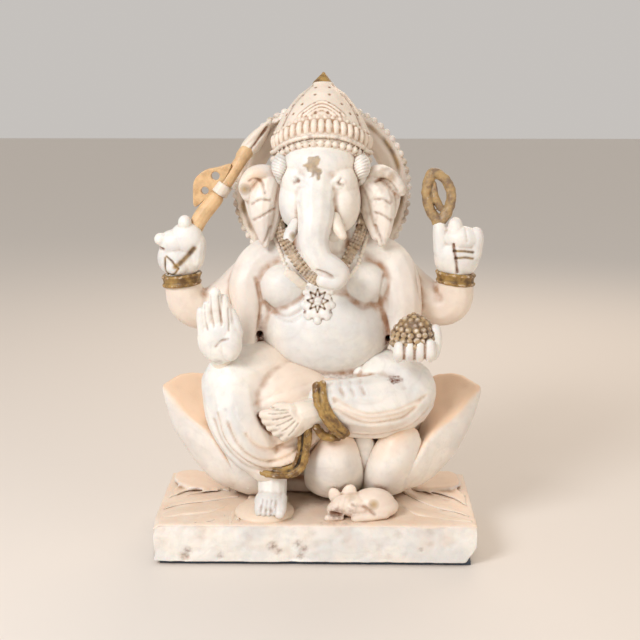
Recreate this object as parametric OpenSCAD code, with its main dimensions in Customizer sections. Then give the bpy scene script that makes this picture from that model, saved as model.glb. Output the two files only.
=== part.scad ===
// Seated elephant-headed idol on a lotus seat, carved in marble, in millimetres.
// +Z is up, the figure faces -Y, and the origin is the middle of the underside.
// Left and right are the figure's own, so its right side is at -X.

/* [Base] */
// Width of the base slab
slab_w = 200; // [170:1:240]
// Depth of the base slab
slab_d = 100; // [84:1:120]
// Thickness of the base slab
slab_t = 25; // [18:1:34]
// Thickness of the felt pad under the slab
pad_t = 2; // [1.5:0.1:3]
// How far the pad stays in from the slab's edges
pad_inset = 4; // [2:0.5:8]
// Height of the flat leaves carved on the slab
leaf_t = 4; // [3:0.5:6]
// Length of the longest flat leaf
leaf_len = 58; // [48:1:70]
// Length of the mouse, with its head
mouse_len = 46; // [38:1:56]
// Height of the mouse's back above the slab
mouse_h = 20; // [16:1:24]

/* [Lotus seat] */
// Width of the seat across its outer petals' tips
seat_w = 204; // [170:1:245]
// Height of the seat's top above the slab
seat_h = 60; // [50:1:72]
// Width of the seat where it meets the slab
seat_foot_w = 124; // [104:1:148]
// Thickness of a petal
petal_t = 9; // [7:0.5:12]
// Number of petals round the front and sides
petal_count = 6; // [5:1:8]

/* [Figure] */
// Sideways place of the figure's middle
figure_x = 3; // [0:0.5:6]
// Height from the seat's top to the shoulders
torso_h = 94; // [78:1:113]
// Width of the belly
belly_w = 86; // [72:1:103]
// Depth of the belly, front to back
belly_d = 62; // [52:1:70]
// Width across the shoulder joints
shoulder_w = 92; // [77:1:110]
// Radius of a front upper arm
arm_r = 12; // [10:0.5:14.4]
// Radius of a wrist
wrist_r = 8; // [6.7:0.1:9.6]
// How far the rear elbows stand out from the shoulder joints
rear_reach = 38; // [32:1:46]
// Length of a rear forearm, from elbow to wrist
rear_forearm = 30; // [25:1:36]
// Height of an open hand, from wrist to fingertips
hand_h = 42; // [35:1:50]
// Width of an open palm
palm_w = 21; // [18:1:25]

/* [Legs] */
// Distance between the two knees
knee_gap = 132; // [110:1:150]
// Radius of a thigh at the knee
knee_r = 19; // [16:0.5:22.8]
// Radius of an ankle
ankle_r = 10; // [8.5:0.5:12]
// Length of a foot
foot_len = 30; // [25:1:36]
// Height of the plinth under the lowered foot
foot_rest_h = 6; // [5:0.5:8]

/* [Head] */
// Width of the head across the temples
head_w = 56; // [47:1:67]
// Height of the head
head_h = 60; // [50:1:72]
// Radius of the trunk below the eyes
trunk_r = 11; // [9:0.5:13]
// Length of a tusk
tusk_len = 13; // [11:0.5:16]
// Height of an ear
ear_h = 52; // [43:1:62]

/* [Crown and halo] */
// Greatest diameter of the crown
crown_d = 60; // [50:1:72]
// Height of the crown without its finial
crown_h = 47; // [39:1:56]
// Thickness of the beaded band round the crown
band_t = 3; // [2.5:0.1:3.6]
// Height of the finial
finial_h = 8; // [6.5:0.5:10]
// Outer radius of the halo ring
halo_r = 56; // [47:1:67]
// Width of the halo ring's face
halo_face = 16; // [13:1:19]
// Thickness of the halo ring
halo_t = 10; // [8:0.5:12]
// Number of pearls round the halo's edge
pearl_count = 48; // [36:1:60]

/* [Held things] */
// Radius of the axe's shaft
shaft_r = 5; // [4.2:0.1:6]
// Width of the axe blade's cutting edge
blade_w = 28; // [23:1:34]
// Diameter of the two holes in the blade
blade_hole_d = 4.5; // [3.6:0.1:5.5]
// Radius of the noose's cord
noose_r = 4; // [3.4:0.1:4.8]
// Height of the noose's loop
noose_h = 32; // [27:1:38]
// Width of the heap of sweets
sweets_w = 29; // [24:1:35]

/* [Hidden] */

marble = "#ece4d8";
warm_marble = "#e6d3bf";
gilt = "#a9843c";
amber = "#c98a3a";
felt = "#3d4756";
RIGHT = -1;
LEFT = 1;

// Heights of the levels, one on the other
z_slab = pad_t + slab_t;
z_seat = z_slab + seat_h;
z_shoulder = z_seat + torso_h;
z_head = z_shoulder + 44 * head_h / 60;
z_crown = z_head + 0.3 * head_h;

// The seat stands at the back of the slab and leans out over it
back_y = slab_d / 2 - 2;
seat_foot_d = 36;
seat_top_d = 54;
seat_foot_y = back_y - seat_foot_d / 2;
seat_top_y = back_y - seat_top_d / 2;

// Middles of the body's masses
hips = [figure_x, back_y - 33, z_seat + 18];
belly = [figure_x, back_y - 6 - belly_d / 2, z_seat + 0.53 * torso_h];
chest = [figure_x, back_y - 33, z_shoulder - 12];
chest_d = 54;
neck = [figure_x, back_y - 30, z_shoulder + 12];
head_c = [figure_x, 4, z_head];
crown_c = [figure_x, 13, z_crown];
crown_lean = -8;

function shoulder(side) = [figure_x + side * shoulder_w / 2, back_y - 36, z_shoulder - 8];
function knee(side) = [figure_x + side * knee_gap / 2, -14, z_seat + 17];

right_knee = knee(RIGHT) + [2, -7, 2];
right_ankle = [figure_x - 35, -26, z_slab + foot_rest_h + 16];
left_knee = knee(LEFT) + [-2, 0, 1];
left_ankle = [figure_x + 3, -35, z_seat + 14];

// Front hands rest over the knees
elbow_rise = 27.5;  // The right elbow rests on the thigh, at this height over the knee
front_right_elbow = [(shoulder(RIGHT).x + right_knee.x) / 2 - 2, (shoulder(RIGHT).y + right_knee.y) / 2 + 2,
    right_knee.z + elbow_rise];
front_right_wrist = right_knee + [1, -5, knee_r + 2];
front_left_elbow = (shoulder(LEFT) + left_knee) / 2 + [2, 4, 2];
front_left_wrist = left_knee + [-5, -10, knee_r + 3];
front_left_palm = front_left_wrist + [0, -9, 8];

// Rear arms spread from behind the shoulders and turn up
rear_wrist_r = wrist_r + 1;
function rear_shoulder(side) = shoulder(side) + [0, 10, 0];
function rear_elbow(side) = [side * (shoulder_w / 2 + rear_reach), back_y - 24, z_shoulder - 42];
function rear_wrist(side) = rear_elbow(side) + [side * 3, -6, rear_forearm];
function rear_palm(side) = rear_wrist(side) + [0, -3, rear_wrist_r + 11];

// The halo stands behind the head
halo_c = [figure_x, back_y - 8 - halo_t / 2, z_head - 3];
halo_mid_r = halo_r - halo_face / 2;
pearl_r = 2.8;

// The axe runs from the rear right hand up to the halo
axe_foot = rear_palm(RIGHT) + [2, 0, 4];
axe_top = halo_c + [-0.69 * halo_mid_r, -halo_t / 2 - 2, 0.72 * halo_mid_r];
axe_socket_c = axe_foot + 0.52 * (axe_top - axe_foot);
socket_half = 5;

noose_c = rear_palm(LEFT) + [-10, 0, 10 + noose_h / 2];

// A limb starts this much slimmer than the end it grows from, so that it starts inside it
tuck = 0.6;

// Blended masses

module ball(p, r) translate(p) sphere(r, $fn = 10);

module mass(p, size) hull() translate(p) scale(size / 2) sphere(1, $fn = 16);

module limb(a, ra, b, rb) hull() {
    ball(a, ra);
    ball(b, rb);
}

// A row of limbs through a list of [point, radius]
module chain(list) for (i = [0 : len(list) - 2])
    limb(list[i][0], list[i][1], list[i + 1][0], list[i + 1][1]);

// Stands its children at a point, with their +Z along a direction
module along(a, d) translate(a)
    rotate([0, acos(d.z / norm(d)), atan2(d.y, d.x)])
        children();

// A round rod between two points
module rod(a, b, r) along(a, b - a) cylinder(h = norm(b - a), r = r, $fn = 32);

// Base

module felt_pad() color(felt)
    translate([pad_inset - slab_w / 2, pad_inset - slab_d / 2, 0])
        cube([slab_w - 2 * pad_inset, slab_d - 2 * pad_inset, pad_t]);

module base_slab() color(marble)
    translate([-slab_w / 2, -slab_d / 2, pad_t])
        cube([slab_w, slab_d, slab_t]);

// A leaf's outline is where two equal circles cross
module leaf(length, width) {
    r = (length * length + width * width) / (4 * width);
    linear_extrude(leaf_t)
        translate([length / 2, 0])
            intersection() {
                translate([0, r - width / 2]) circle(r, $fn = 96);
                translate([0, width / 2 - r]) circle(r, $fn = 96);
            }
}

// Each is [share of the length, turn towards the front, place in x, place in y]
leaf_rows = [[1, 36, 0.2, 4], [0.9, 8, 0.24, 20], [0.75, -12, 0.27, 34]];

module base_leaves() color(warm_marble) difference() {
    intersection() {
        for (side = [RIGHT, LEFT], row = leaf_rows)
            translate([side * row[2] * slab_w, row[3], z_slab])
                rotate([0, 0, side > 0 ? -row[1] : 180 + row[1]])
                    leaf(leaf_len * row[0], 0.42 * leaf_len * row[0]);
        translate([1 - slab_w / 2, 1 - slab_d / 2, z_slab])
            cube([slab_w - 2, slab_d - 2, leaf_t + 1]);
    }
    seat_form();
    petal_forms();
    foot_rest_form();
    mouse_form();
}

mouse_c = [figure_x + 24, mouse_h / 2 - slab_d / 2 + 13, z_slab];

module mouse_form() intersection() {
    union() {
        mass(mouse_c + [0.14 * mouse_len, 2, 0.42 * mouse_h], [0.7 * mouse_len, 24, 1.15 * mouse_h]);
        mass(mouse_c + [0.26 * mouse_len, -3, 0.3 * mouse_h], [0.36 * mouse_len, 18, 0.9 * mouse_h]);
        limb(mouse_c + [-0.1 * mouse_len, -1, 0.45 * mouse_h], 0.36 * mouse_h,
            mouse_c + [-0.38 * mouse_len, -4, 0.3 * mouse_h], 0.24 * mouse_h);
        for (y = [-7, 4])
            mass(mouse_c + [-0.17 * mouse_len, y, 0.78 * mouse_h], [9, 4, 9]);
        for (x = [-0.3, -0.05])
            limb(mouse_c + [x * mouse_len, -9, 3], 3.4, mouse_c + [x * mouse_len + 9, -5, 4], 4);
    }
    translate([-slab_w / 2, -slab_d / 2, z_slab]) cube([slab_w, slab_d, 2 * mouse_h]);
}

module mouse() color(marble) mouse_form();

foot_rest_w = foot_len * 0.9;

module foot_rest_form()
    translate([right_ankle.x - foot_rest_w / 2, 2 - slab_d / 2, z_slab])
        cube([foot_rest_w, foot_len + 4, foot_rest_h]);

module foot_rest() color(marble) foot_rest_form();

// Lotus seat

module disc(p, size, h) translate(p) scale([size.x / 2, size.y / 2, 1])
    cylinder(h = h, r = 1, $fn = 40);

seat_top_w = 0.8 * seat_w;

module seat_form() hull() {
    disc([figure_x, seat_foot_y, z_slab], [seat_foot_w, seat_foot_d], 1);
    disc([figure_x, seat_foot_y - 2, z_slab + 0.4 * seat_h], [seat_foot_w * 1.1, seat_foot_d + 4], 1);
    disc([figure_x, seat_top_y, z_seat - 6], [seat_top_w, seat_top_d], 6);
}

module lotus_core() color(warm_marble) seat_form();

// One petal leans out from the seat's foot and turns up to its tip.
// u goes from -1 at the figure's right to 1 at its left.
module petal(u) {
    half_w = 0.5 * seat_w - petal_t / 2;
    round_w = sqrt(1 - 0.85 * u * u);
    root = [0.46 * seat_foot_w * u, seat_foot_y - 0.5 * seat_foot_d * round_w, z_slab + 6];
    bulge = [0.8 * half_w * u, seat_top_y - 0.48 * seat_top_d * round_w, z_slab + 0.42 * seat_h];
    tip = [half_w * u, seat_top_y - 0.42 * seat_top_d * round_w, z_slab + seat_h * (0.75 + 0.34 * u * u)];
    across = [1, 0.9 * u, 0] / norm([1, 0.9 * u, 0]);
    w = 0.42 * seat_w / petal_count + 4;
    inward = abs(u) * u * [-6, 0, 0];
    hull() {
        ball(root + 0.4 * w * across, petal_t * 0.6);
        ball(root - 0.4 * w * across, petal_t * 0.6);
        ball(bulge + w * across + inward, petal_t / 2);
        ball(bulge - w * across + inward, petal_t / 2);
        ball(bulge, petal_t / 2 + 1);
    }
    hull() {
        ball(bulge + w * across + inward, petal_t / 2);
        ball(bulge - w * across + inward, petal_t / 2);
        ball(bulge, petal_t / 2 + 1);
        ball(tip, petal_t / 2);
    }
}

function petal_u(i) = 2 * i / (petal_count - 1) - 1;

module petal_forms() for (i = [0 : petal_count - 1]) petal(petal_u(i));

// Every second petal stands in front, and the ones between are tucked behind
module front_petals() for (i = [0 : 2 : petal_count - 1]) petal(petal_u(i));
module back_petals() for (i = [1 : 2 : petal_count - 1]) petal(petal_u(i));

module slab_top_box() translate([-slab_w, -slab_d, z_slab]) cube([2 * slab_w, 2 * slab_d, 4 * seat_h]);

module lotus_petals_outer() color(marble) intersection() {
    difference() {
        front_petals();
        seat_form();
        leg_forms();
        mouse_form();
    }
    slab_top_box();
}

module lotus_petals_inner() color(warm_marble) intersection() {
    difference() {
        back_petals();
        front_petals();
        seat_form();
        leg_forms();
        mouse_form();
    }
    slab_top_box();
}

// Body

module torso_form() {
    mass(hips, [belly_w + 20, 58, 44]);
    mass(belly, [belly_w, belly_d, 0.8 * torso_h]);
    mass(chest, [shoulder_w, chest_d, 50]);
    for (side = [RIGHT, LEFT])
        mass(chest + [side * 0.26 * shoulder_w, -0.3 * chest_d, -5], [0.4 * shoulder_w, 28, 28]);
    limb(shoulder(RIGHT), arm_r, shoulder(LEFT), arm_r);
    hull() {
        ball(belly + [0, 4, 20], belly_w / 3);
        ball(chest, 22);
    }
    limb(neck + [0, 2, -10], 22, neck + [0, -2, 10], 19);
}

module torso() color(marble) difference() {
    torso_form();
    seat_form();
    halo_form();
}

// Legs

hip_r = knee_r + 3;

module right_thigh_form() chain([
    [[figure_x - belly_w / 3, 6, z_seat + 20], hip_r],
    [(right_knee + [figure_x - belly_w / 3, 6, z_seat + 20]) / 2, hip_r - 1],
    [right_knee, knee_r]]);

module right_shin_form() chain([
    [right_knee, knee_r - tuck],
    [right_knee + 0.45 * (right_ankle - right_knee), knee_r - 1],
    [right_ankle + [0, 0, 14], ankle_r + 4],
    [right_ankle, ankle_r]]);

module left_thigh_form() chain([
    [[figure_x + belly_w / 3, 6, z_seat + 18], hip_r],
    [(left_knee + [figure_x + belly_w / 3, 6, z_seat + 18]) / 2, hip_r - 1],
    [left_knee, knee_r]]);

module left_shin_form() chain([
    [left_knee + [0, -5, -4], knee_r - 2],
    [(left_knee + left_ankle) / 2 + [0, -6, -2], knee_r - 3],
    [left_ankle, ankle_r]]);

module leg_forms() {
    right_thigh_form();
    right_shin_form();
    left_thigh_form();
    left_shin_form();
    right_foot_form();
    left_foot_form();
    foot_rest_form();
}

module right_foot_form() intersection() {
    union() {
        limb(right_ankle, ankle_r - 1, right_ankle + [0, -6, -9], ankle_r - 1);
        for (i = [0 : 4]) {
            x = (i - 2) * ankle_r * 0.42;
            limb(right_ankle + [x * 0.7, -5, -10], 5,
                right_ankle + [x, -foot_len * 0.68 + abs(x) * 0.2, -12.5], 3.4);
        }
    }
    translate([-slab_w / 2, -slab_d / 2, z_slab + foot_rest_h]) cube([slab_w, slab_d, 3 * foot_len]);
}

left_toes = left_ankle + [-foot_len * 0.95, -1, -11];

module left_foot_form() {
    limb(left_ankle, ankle_r - 1, left_ankle + [-10, -2, -5], ankle_r - 1.5);
    for (i = [0 : 4])
        limb(left_ankle + [-8, -3, -3 - i], 6, left_toes + [i * 0.8, 0, 7 - i * 3.2], 3);
}

module right_thigh() color(marble) difference() {
    right_thigh_form();
    torso_form();
    seat_form();
}

module right_shin() color(marble) difference() {
    right_shin_form();
    right_thigh_form();
    torso_form();
    seat_form();
}

module right_foot() color(marble) difference() {
    right_foot_form();
    right_shin_form();
    right_hem_form();
}

module left_thigh() color(marble) difference() {
    left_thigh_form();
    right_thigh_form();
    torso_form();
    seat_form();
}

module left_shin() color(marble) difference() {
    left_shin_form();
    left_thigh_form();
    right_thigh_form();
    right_shin_form();
    torso_form();
    seat_form();
}

module left_foot() color(marble) difference() {
    left_foot_form();
    left_shin_form();
    right_shin_form();
    right_thigh_form();
    left_thigh_form();
    torso_form();
}

// Cloth edges

hem_z = right_ankle.z + 12;

module right_hem_form() {
    r = ankle_r + 5;
    for (i = [0 : 5]) {
        a = 200 + 28 * i;
        b = a + 28;
        limb([right_ankle.x + r * cos(a), right_ankle.y + r * sin(a) * 0.8, hem_z - i * 0.4], 3,
            [right_ankle.x + r * cos(b), right_ankle.y + r * sin(b) * 0.8, hem_z - i * 0.4 - 0.4], 3);
    }
    chain([
        [[right_ankle.x + r + 3, right_ankle.y, hem_z - 1], 3],
        [[right_ankle.x + r + 10, right_ankle.y - 2, hem_z + 18], 3],
        [left_ankle + [-6, -3, -18], 3]]);
}

module right_hem() color(gilt) difference() {
    right_hem_form();
    right_shin_form();
    left_foot_form();
    petal_forms();
    seat_form();
}

// The folded leg's cuff runs down over the shin, just above the bare ankle
module left_hem_form() {
    top = left_ankle + [-4, -9, 11];
    for (i = [0 : 1])
        chain([
            [top + [i * 6, 3, 0], 4],
            [top + [7 + i * 7, -1, -14], 4],
            [top + [12 + i * 7, 3, -26], 4],
            [top + [16 + i * 7, 8, -34], 3.5]]);
}

module left_hem() color(gilt) difference() {
    left_hem_form();
    left_shin_form();
    left_thigh_form();
    left_foot_form();
    petal_forms();
    seat_form();
    torso_form();
}

// Gathered cloth between belly and lap
// The cloth's folds fill the lap, from the belly's underside down to the thighs
z_top_fold = z_seat + torso_h / 3;
z_low_fold = z_seat + 16.3;
fold_count = 4;
fold_step = (z_top_fold - z_low_fold) / (fold_count - 1);

module folds_form() for (i = [0 : fold_count - 1])
    chain([
        [[figure_x - 24, -14 - 3 * i, z_top_fold + 1 - fold_step * i], 5],
        [[figure_x, -22 - 3 * i, z_top_fold - 1 - fold_step * i], 5],
        [[figure_x + 26, -15 - 3 * i, z_top_fold + 2 - fold_step * i], 5]]);

module waist_folds() color(marble) difference() {
    folds_form();
    torso_form();
    leg_forms();
    left_hem_form();
    seat_form();
}

// Arms

module front_right_upper_form() chain([
    [shoulder(RIGHT), arm_r + 1], [front_right_elbow, arm_r]]);
module front_right_forearm_form() chain([
    [front_right_elbow, arm_r - tuck], [front_right_wrist, wrist_r]]);
module front_left_upper_form() chain([
    [shoulder(LEFT), arm_r + 1], [front_left_elbow, arm_r]]);
module front_left_forearm_form() chain([
    [front_left_elbow, arm_r - tuck], [front_left_wrist, wrist_r]]);

module front_right_upper_arm() color(marble) difference() {
    front_right_upper_form();
    torso_form();
    right_thigh_form();
}

module front_right_forearm() color(marble) difference() {
    front_right_forearm_form();
    front_right_upper_form();
    torso_form();
    leg_forms();
}

module front_left_upper_arm() color(marble) difference() {
    front_left_upper_form();
    torso_form();
}

module front_left_forearm() color(marble) difference() {
    front_left_forearm_form();
    front_left_upper_form();
    torso_form();
    leg_forms();
}

// An open palm held upright, with four fingers and a thumb
module open_hand_form(wrist) {
    palm = wrist + [0, -2, 0.42 * hand_h];
    finger_r = palm_w / 8;
    hull() {
        ball(wrist + [0, -1, 4], wrist_r - 1.5);
        for (x = [-0.36, 0.36]) ball(palm + [x * palm_w, 0, 4], finger_r + 1.5);
    }
    for (i = [0 : 3]) {
        x = (i - 1.5) * palm_w / 4;
        reach = hand_h * (1 - 0.05 * pow(i - 1.5, 2));
        limb(palm + [x, 0, 2], finger_r + 0.6, wrist + [x * 1.05, 0, reach - finger_r], finger_r);
    }
    limb(palm + [0.3 * palm_w, -1, -6], finger_r + 1.4, palm + [0.62 * palm_w, -3, 9], finger_r);
}

module front_right_hand() color(marble) difference() {
    open_hand_form(front_right_wrist);
    front_right_forearm_form();
    leg_forms();
}

// A cupped hand under the sweets
module cupped_hand_form() {
    limb(front_left_wrist, wrist_r - tuck, front_left_palm, 0.36 * sweets_w);
    for (i = [0 : 3]) {
        x = (i - 1.5) * sweets_w * 0.2;
        limb(front_left_palm + [x, -0.25 * sweets_w, -5], 3.6, front_left_palm + [x, -0.36 * sweets_w, 5], 3);
    }
    limb(front_left_palm + [-0.4 * sweets_w, -2, -4], 4, front_left_palm + [-0.46 * sweets_w, -6, 5], 3.2);
}

module front_left_hand() color(marble) difference() {
    cupped_hand_form();
    front_left_forearm_form();
    leg_forms();
    sweets_form();
}

module sweets_form() {
    c = front_left_palm + [0, -1, 0.3 * sweets_w];
    mass(c, [sweets_w, 0.8 * sweets_w, 0.7 * sweets_w]);
    for (ring = [0 : 2], i = [0 : 6 - 2 * ring]) {
        a = 360 * i / (7 - 2 * ring);
        r = sweets_w * (0.4 - 0.15 * ring);
        hull() ball(c + [r * cos(a), 0.8 * r * sin(a), 1 + 3.5 * ring], 3.4);
    }
}

module sweets() color(gilt) difference() {
    sweets_form();
    front_left_forearm_form();
    leg_forms();
}

module rear_upper_form(side) chain([
    [rear_shoulder(side), arm_r], [rear_elbow(side), arm_r - 1]]);
module rear_forearm_form(side) chain([
    [rear_elbow(side), arm_r - 1 - tuck], [rear_wrist(side), rear_wrist_r]]);

module rear_upper_arm(side) color(marble) difference() {
    rear_upper_form(side);
    torso_form();
    halo_form();
    if (side == RIGHT) front_right_upper_form(); else front_left_upper_form();
    if (side == RIGHT) front_right_forearm_form(); else front_left_forearm_form();
}

bangle_h = 6;
bangle_t = 3.5;

module bangle_form(side) translate(rear_wrist(side))
    rotate_extrude($fn = 48)
        translate([rear_wrist_r - 1, 0])
            square([bangle_t + 1, bangle_h]);

module rear_forearm(side) color(marble) difference() {
    rear_forearm_form(side);
    rear_upper_form(side);
    torso_form();
    bangle_form(side);
}

module rear_bangle(side) color(gilt) bangle_form(side);

// A closed fist, its fingers curled round what it holds
module fist_form(side) {
    palm = rear_palm(side);
    limb(rear_wrist(side) + [0, 0, 4], rear_wrist_r - 1.5, palm, 11);
    mass(palm + [0, -2, 3], [24, 20, 22]);
    for (i = [0 : 3])
        limb(palm + [-side * (8 - i), -7, 9 - 4.5 * i], 3.6, palm + [side * (5 - i), -9, 10 - 4.5 * i], 3.2);
    limb(palm + [side * 7, -3, 4], 4.5, palm + [side * 10, -5, 12], 3.6);
    limb(palm + [-side * 6, -2, 8], 4.5, palm + [-side * 7, -2, 17], 4);
}

module rear_hand(side) color(marble) difference() {
    fist_form(side);
    rear_forearm_form(side);
    bangle_form(side);
    if (side == RIGHT) axe_shaft_form(); else noose_form();
}

// Held things

module axe_shaft_form() rod(axe_foot, axe_top, shaft_r);

axe_dir = (axe_top - axe_foot) / norm(axe_top - axe_foot);

module axe_socket_form()
    rod(axe_socket_c - socket_half * axe_dir, axe_socket_c + socket_half * axe_dir, shaft_r + 2);

module axe_shaft() color(amber) difference() {
    axe_shaft_form();
    axe_socket_form();
    halo_form();
}

module axe_socket() color(marble) axe_socket_form();

blade_t = 5;
blade_reach = 22;

// The blade stands out to the figure's right of the shaft
module axe_blade() color(amber) difference() {
    translate(axe_socket_c)
        rotate([90, 45 - 90, 0])
            translate([-2, 0, -blade_t / 2])
                linear_extrude(blade_t)
                    difference() {
                        polygon([[0, -4], [0, 4], [blade_reach * 0.7, blade_w * 0.52],
                            [blade_reach, blade_w / 2], [blade_reach + 2, 0],
                            [blade_reach, -blade_w / 2], [blade_reach * 0.7, -blade_w * 0.48]]);
                        for (y = [-1, 1])
                            translate([blade_reach * 0.62, y * blade_w * 0.24]) circle(d = blade_hole_d, $fn = 32);
                    }
    axe_socket_form();
    axe_shaft_form();
}

module noose_form() {
    steps = 14;
    for (i = [0 : steps - 1]) {
        a = 360 * i / steps;
        b = 360 * (i + 1) / steps;
        limb(noose_c + [0.27 * noose_h * sin(a), 0, (0.5 * noose_h - noose_r) * cos(a)], noose_r,
            noose_c + [0.27 * noose_h * sin(b), 0, (0.5 * noose_h - noose_r) * cos(b)], noose_r);
    }
}

module noose() color(gilt) noose_form();

// Necklace

pendant_c = [figure_x, chest.y - chest_d / 2 - 3, z_shoulder - 21];
necklace_steps = 12;
function necklace_at(t) = [figure_x + 0.4 * shoulder_w * t,
    pendant_c.y + 3 + 24 * t * t, pendant_c.z + 6 + 34 * t * t];

module necklace_form() for (i = [0 : necklace_steps - 1])
    limb(necklace_at(2 * i / necklace_steps - 1), 4.5, necklace_at(2 * (i + 1) / necklace_steps - 1), 4.5);

pendant_w = 16;
pendant_d = 14;

// Two squares, one turned, make the eight-point star
module pendant_form() translate(pendant_c + [0, -3, 0])
    rotate([-90, 0, 0]) {
        for (turn = [0, 45])
            rotate([0, 0, turn])
                translate([-pendant_w / 2, -pendant_w / 2, 0])
                    cube([pendant_w, pendant_w, pendant_d]);
        translate([0, 0, -2]) cylinder(h = 4, d = 9, $fn = 32);
    }

module necklace() color(gilt) difference() {
    necklace_form();
    torso_form();
    trunk_form();
    head_form();
    pendant_form();
}

module pendant() color(gilt) difference() {
    pendant_form();
    torso_form();
}

// Head

module head_form() {
    mass(head_c, [head_w, 50, head_h]);
    mass(head_c + [0, -6, 8], [0.82 * head_w, 44, 0.6 * head_h]);
    for (side = [RIGHT, LEFT]) {
        mass(head_c + [side * 0.26 * head_w, -6, -0.24 * head_h], [0.42 * head_w, 36, 0.5 * head_h]);
        mass(head_c + [side * 0.22 * head_w, -16, 0.3 * head_h], [0.34 * head_w, 16, 0.24 * head_h]);
        mass(head_c + [side * 0.4 * head_w, 2, 2], [0.22 * head_w, 34, 0.5 * head_h]);
    }
}

trunk_path = [
    [head_c + [-1, -18, 0.04 * head_h], trunk_r + 2],
    [head_c + [-2, -26, -0.2 * head_h], trunk_r + 1],
    [head_c + [-3, -33, -0.44 * head_h], trunk_r],
    [head_c + [0, -36, -0.62 * head_h], trunk_r - 2],
    [head_c + [7, -36, -0.7 * head_h], trunk_r - 3.5],
    [head_c + [9, -35, -0.79 * head_h], trunk_r - 5],
    [head_c + [-1, -34, -0.83 * head_h], trunk_r - 6]];

module trunk_form() chain(trunk_path);

module head() color(marble) difference() {
    head_form();
    torso_form();
    crown_form();
    band_form();
    halo_form();
}

module trunk() color(marble) difference() {
    trunk_form();
    head_form();
    torso_form();
}

module tusk(side) {
    root = head_c + [side * (trunk_r + 1), -20, -0.3 * head_h];
    color(marble) difference() {
        limb(root, 3.8, root + tusk_len * [side * 0.55, -0.45, -0.7], 2.2);
        trunk_form();
        head_form();
    }
}

module ear_form(side) {
    top = head_c + [side * 0.64 * head_w, 8, 0.16 * ear_h];
    outer = head_c + [side * 0.76 * head_w, 9, -0.12 * ear_h];
    low = head_c + [side * 0.6 * head_w, 2, -0.74 * ear_h];
    inner = head_c + [side * 0.46 * head_w, 4, 0.1 * ear_h];
    chain([[top, 6], [outer, 5], [low, 4]]);
    chain([[inner, 6], [top, 6]]);
    hull() {
        ball(inner, 5);
        ball(top, 5);
        ball(outer, 4);
        ball(low, 3.6);
    }
}

module ear(side) color(marble) difference() {
    ear_form(side);
    head_form();
    torso_form();
    crown_form();
    band_form();
    necklace_form();
}

// Crown

module on_crown() translate(crown_c) rotate([crown_lean, 0, 0]) children();

crown_r = crown_d / 2;
band_h = 10;

// The cone's outline, as [share of the radius, share of the height]
crown_outline = [[0.9, 0], [1, 0.12], [0.99, 0.28], [0.91, 0.42],
    [0.76, 0.58], [0.56, 0.74], [0.36, 0.88], [0.2, 1]];

module crown_form() on_crown() rotate_extrude($fn = 64)
    polygon(concat([[0, 0]], [for (p = crown_outline) [p[0] * crown_r, p[1] * crown_h]], [[0, crown_h]]));

module band_form() on_crown() translate([0, 0, 2]) rotate_extrude($fn = 64)
    translate([0.86 * crown_r, 0]) square([0.14 * crown_r + band_t, band_h]);

module crown() color(marble) difference() {
    crown_form();
    band_form();
}

module crown_band() color(warm_marble) band_form();

module crown_finial() color(gilt) on_crown() translate([0, 0, crown_h]) rotate_extrude($fn = 40)
    polygon([[0, 0], [0.18 * crown_r, 0], [0.22 * crown_r, 0.25 * finial_h], [0.14 * crown_r, 0.45 * finial_h],
        [0.12 * crown_r, 0.7 * finial_h], [0.05 * crown_r, 0.95 * finial_h], [0, finial_h]]);

// Halo

module halo_form() translate(halo_c) rotate([90, 0, 0])
    translate([0, 0, -halo_t / 2]) rotate_extrude($fn = 96)
        translate([halo_r - halo_face, 0]) square([halo_face, halo_t]);

module halo_ring() color(marble) difference() {
    halo_form();
    crown_form();
    band_form();
}

module halo_pearls() color(gilt) difference() {
    for (i = [0 : pearl_count - 1]) {
        a = 360 * (i + 0.5) / pearl_count;
        if (sin(a) > -0.62)
            translate(halo_c + [halo_r * cos(a), 0, halo_r * sin(a)])
                rotate([0, 90 - a, 0]) sphere(pearl_r, $fn = 20);
    }
    halo_form();
}

// A carved bud that the axe's shaft ends in, on the halo's face
bud_len = 19;
bud_r = 8;

module halo_bud() color(amber) difference() {
    along(axe_top, axe_dir) rotate_extrude($fn = 40)
        polygon([[0, 0], [shaft_r, 0], [bud_r, 0.25 * bud_len], [0.8 * bud_r, 0.6 * bud_len], [0, bud_len]]);
    halo_form();
    crown_form();
    band_form();
}

felt_pad();
base_slab();
base_leaves();
mouse();
foot_rest();
lotus_core();
lotus_petals_outer();
lotus_petals_inner();
torso();
right_thigh();
right_shin();
right_foot();
left_thigh();
left_shin();
left_foot();
right_hem();
left_hem();
waist_folds();
front_right_upper_arm();
front_right_forearm();
front_right_hand();
front_left_upper_arm();
front_left_forearm();
front_left_hand();
rear_upper_arm(RIGHT);  // rear_right_upper_arm
rear_forearm(RIGHT);  // rear_right_forearm
rear_hand(RIGHT);  // rear_right_hand
rear_bangle(RIGHT);  // rear_right_bangle
rear_upper_arm(LEFT);  // rear_left_upper_arm
rear_forearm(LEFT);  // rear_left_forearm
rear_hand(LEFT);  // rear_left_hand
rear_bangle(LEFT);  // rear_left_bangle
sweets();
axe_shaft();
axe_socket();
axe_blade();
noose();
necklace();
pendant();
head();
trunk();
tusk(RIGHT);  // right_tusk
tusk(LEFT);  // left_tusk
ear(RIGHT);  // right_ear
ear(LEFT);  // left_ear
crown();
crown_band();
crown_finial();
halo_ring();
halo_pearls();
halo_bud();
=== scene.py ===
import math

import bpy
import numpy as np
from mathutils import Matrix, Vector, noise


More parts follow.
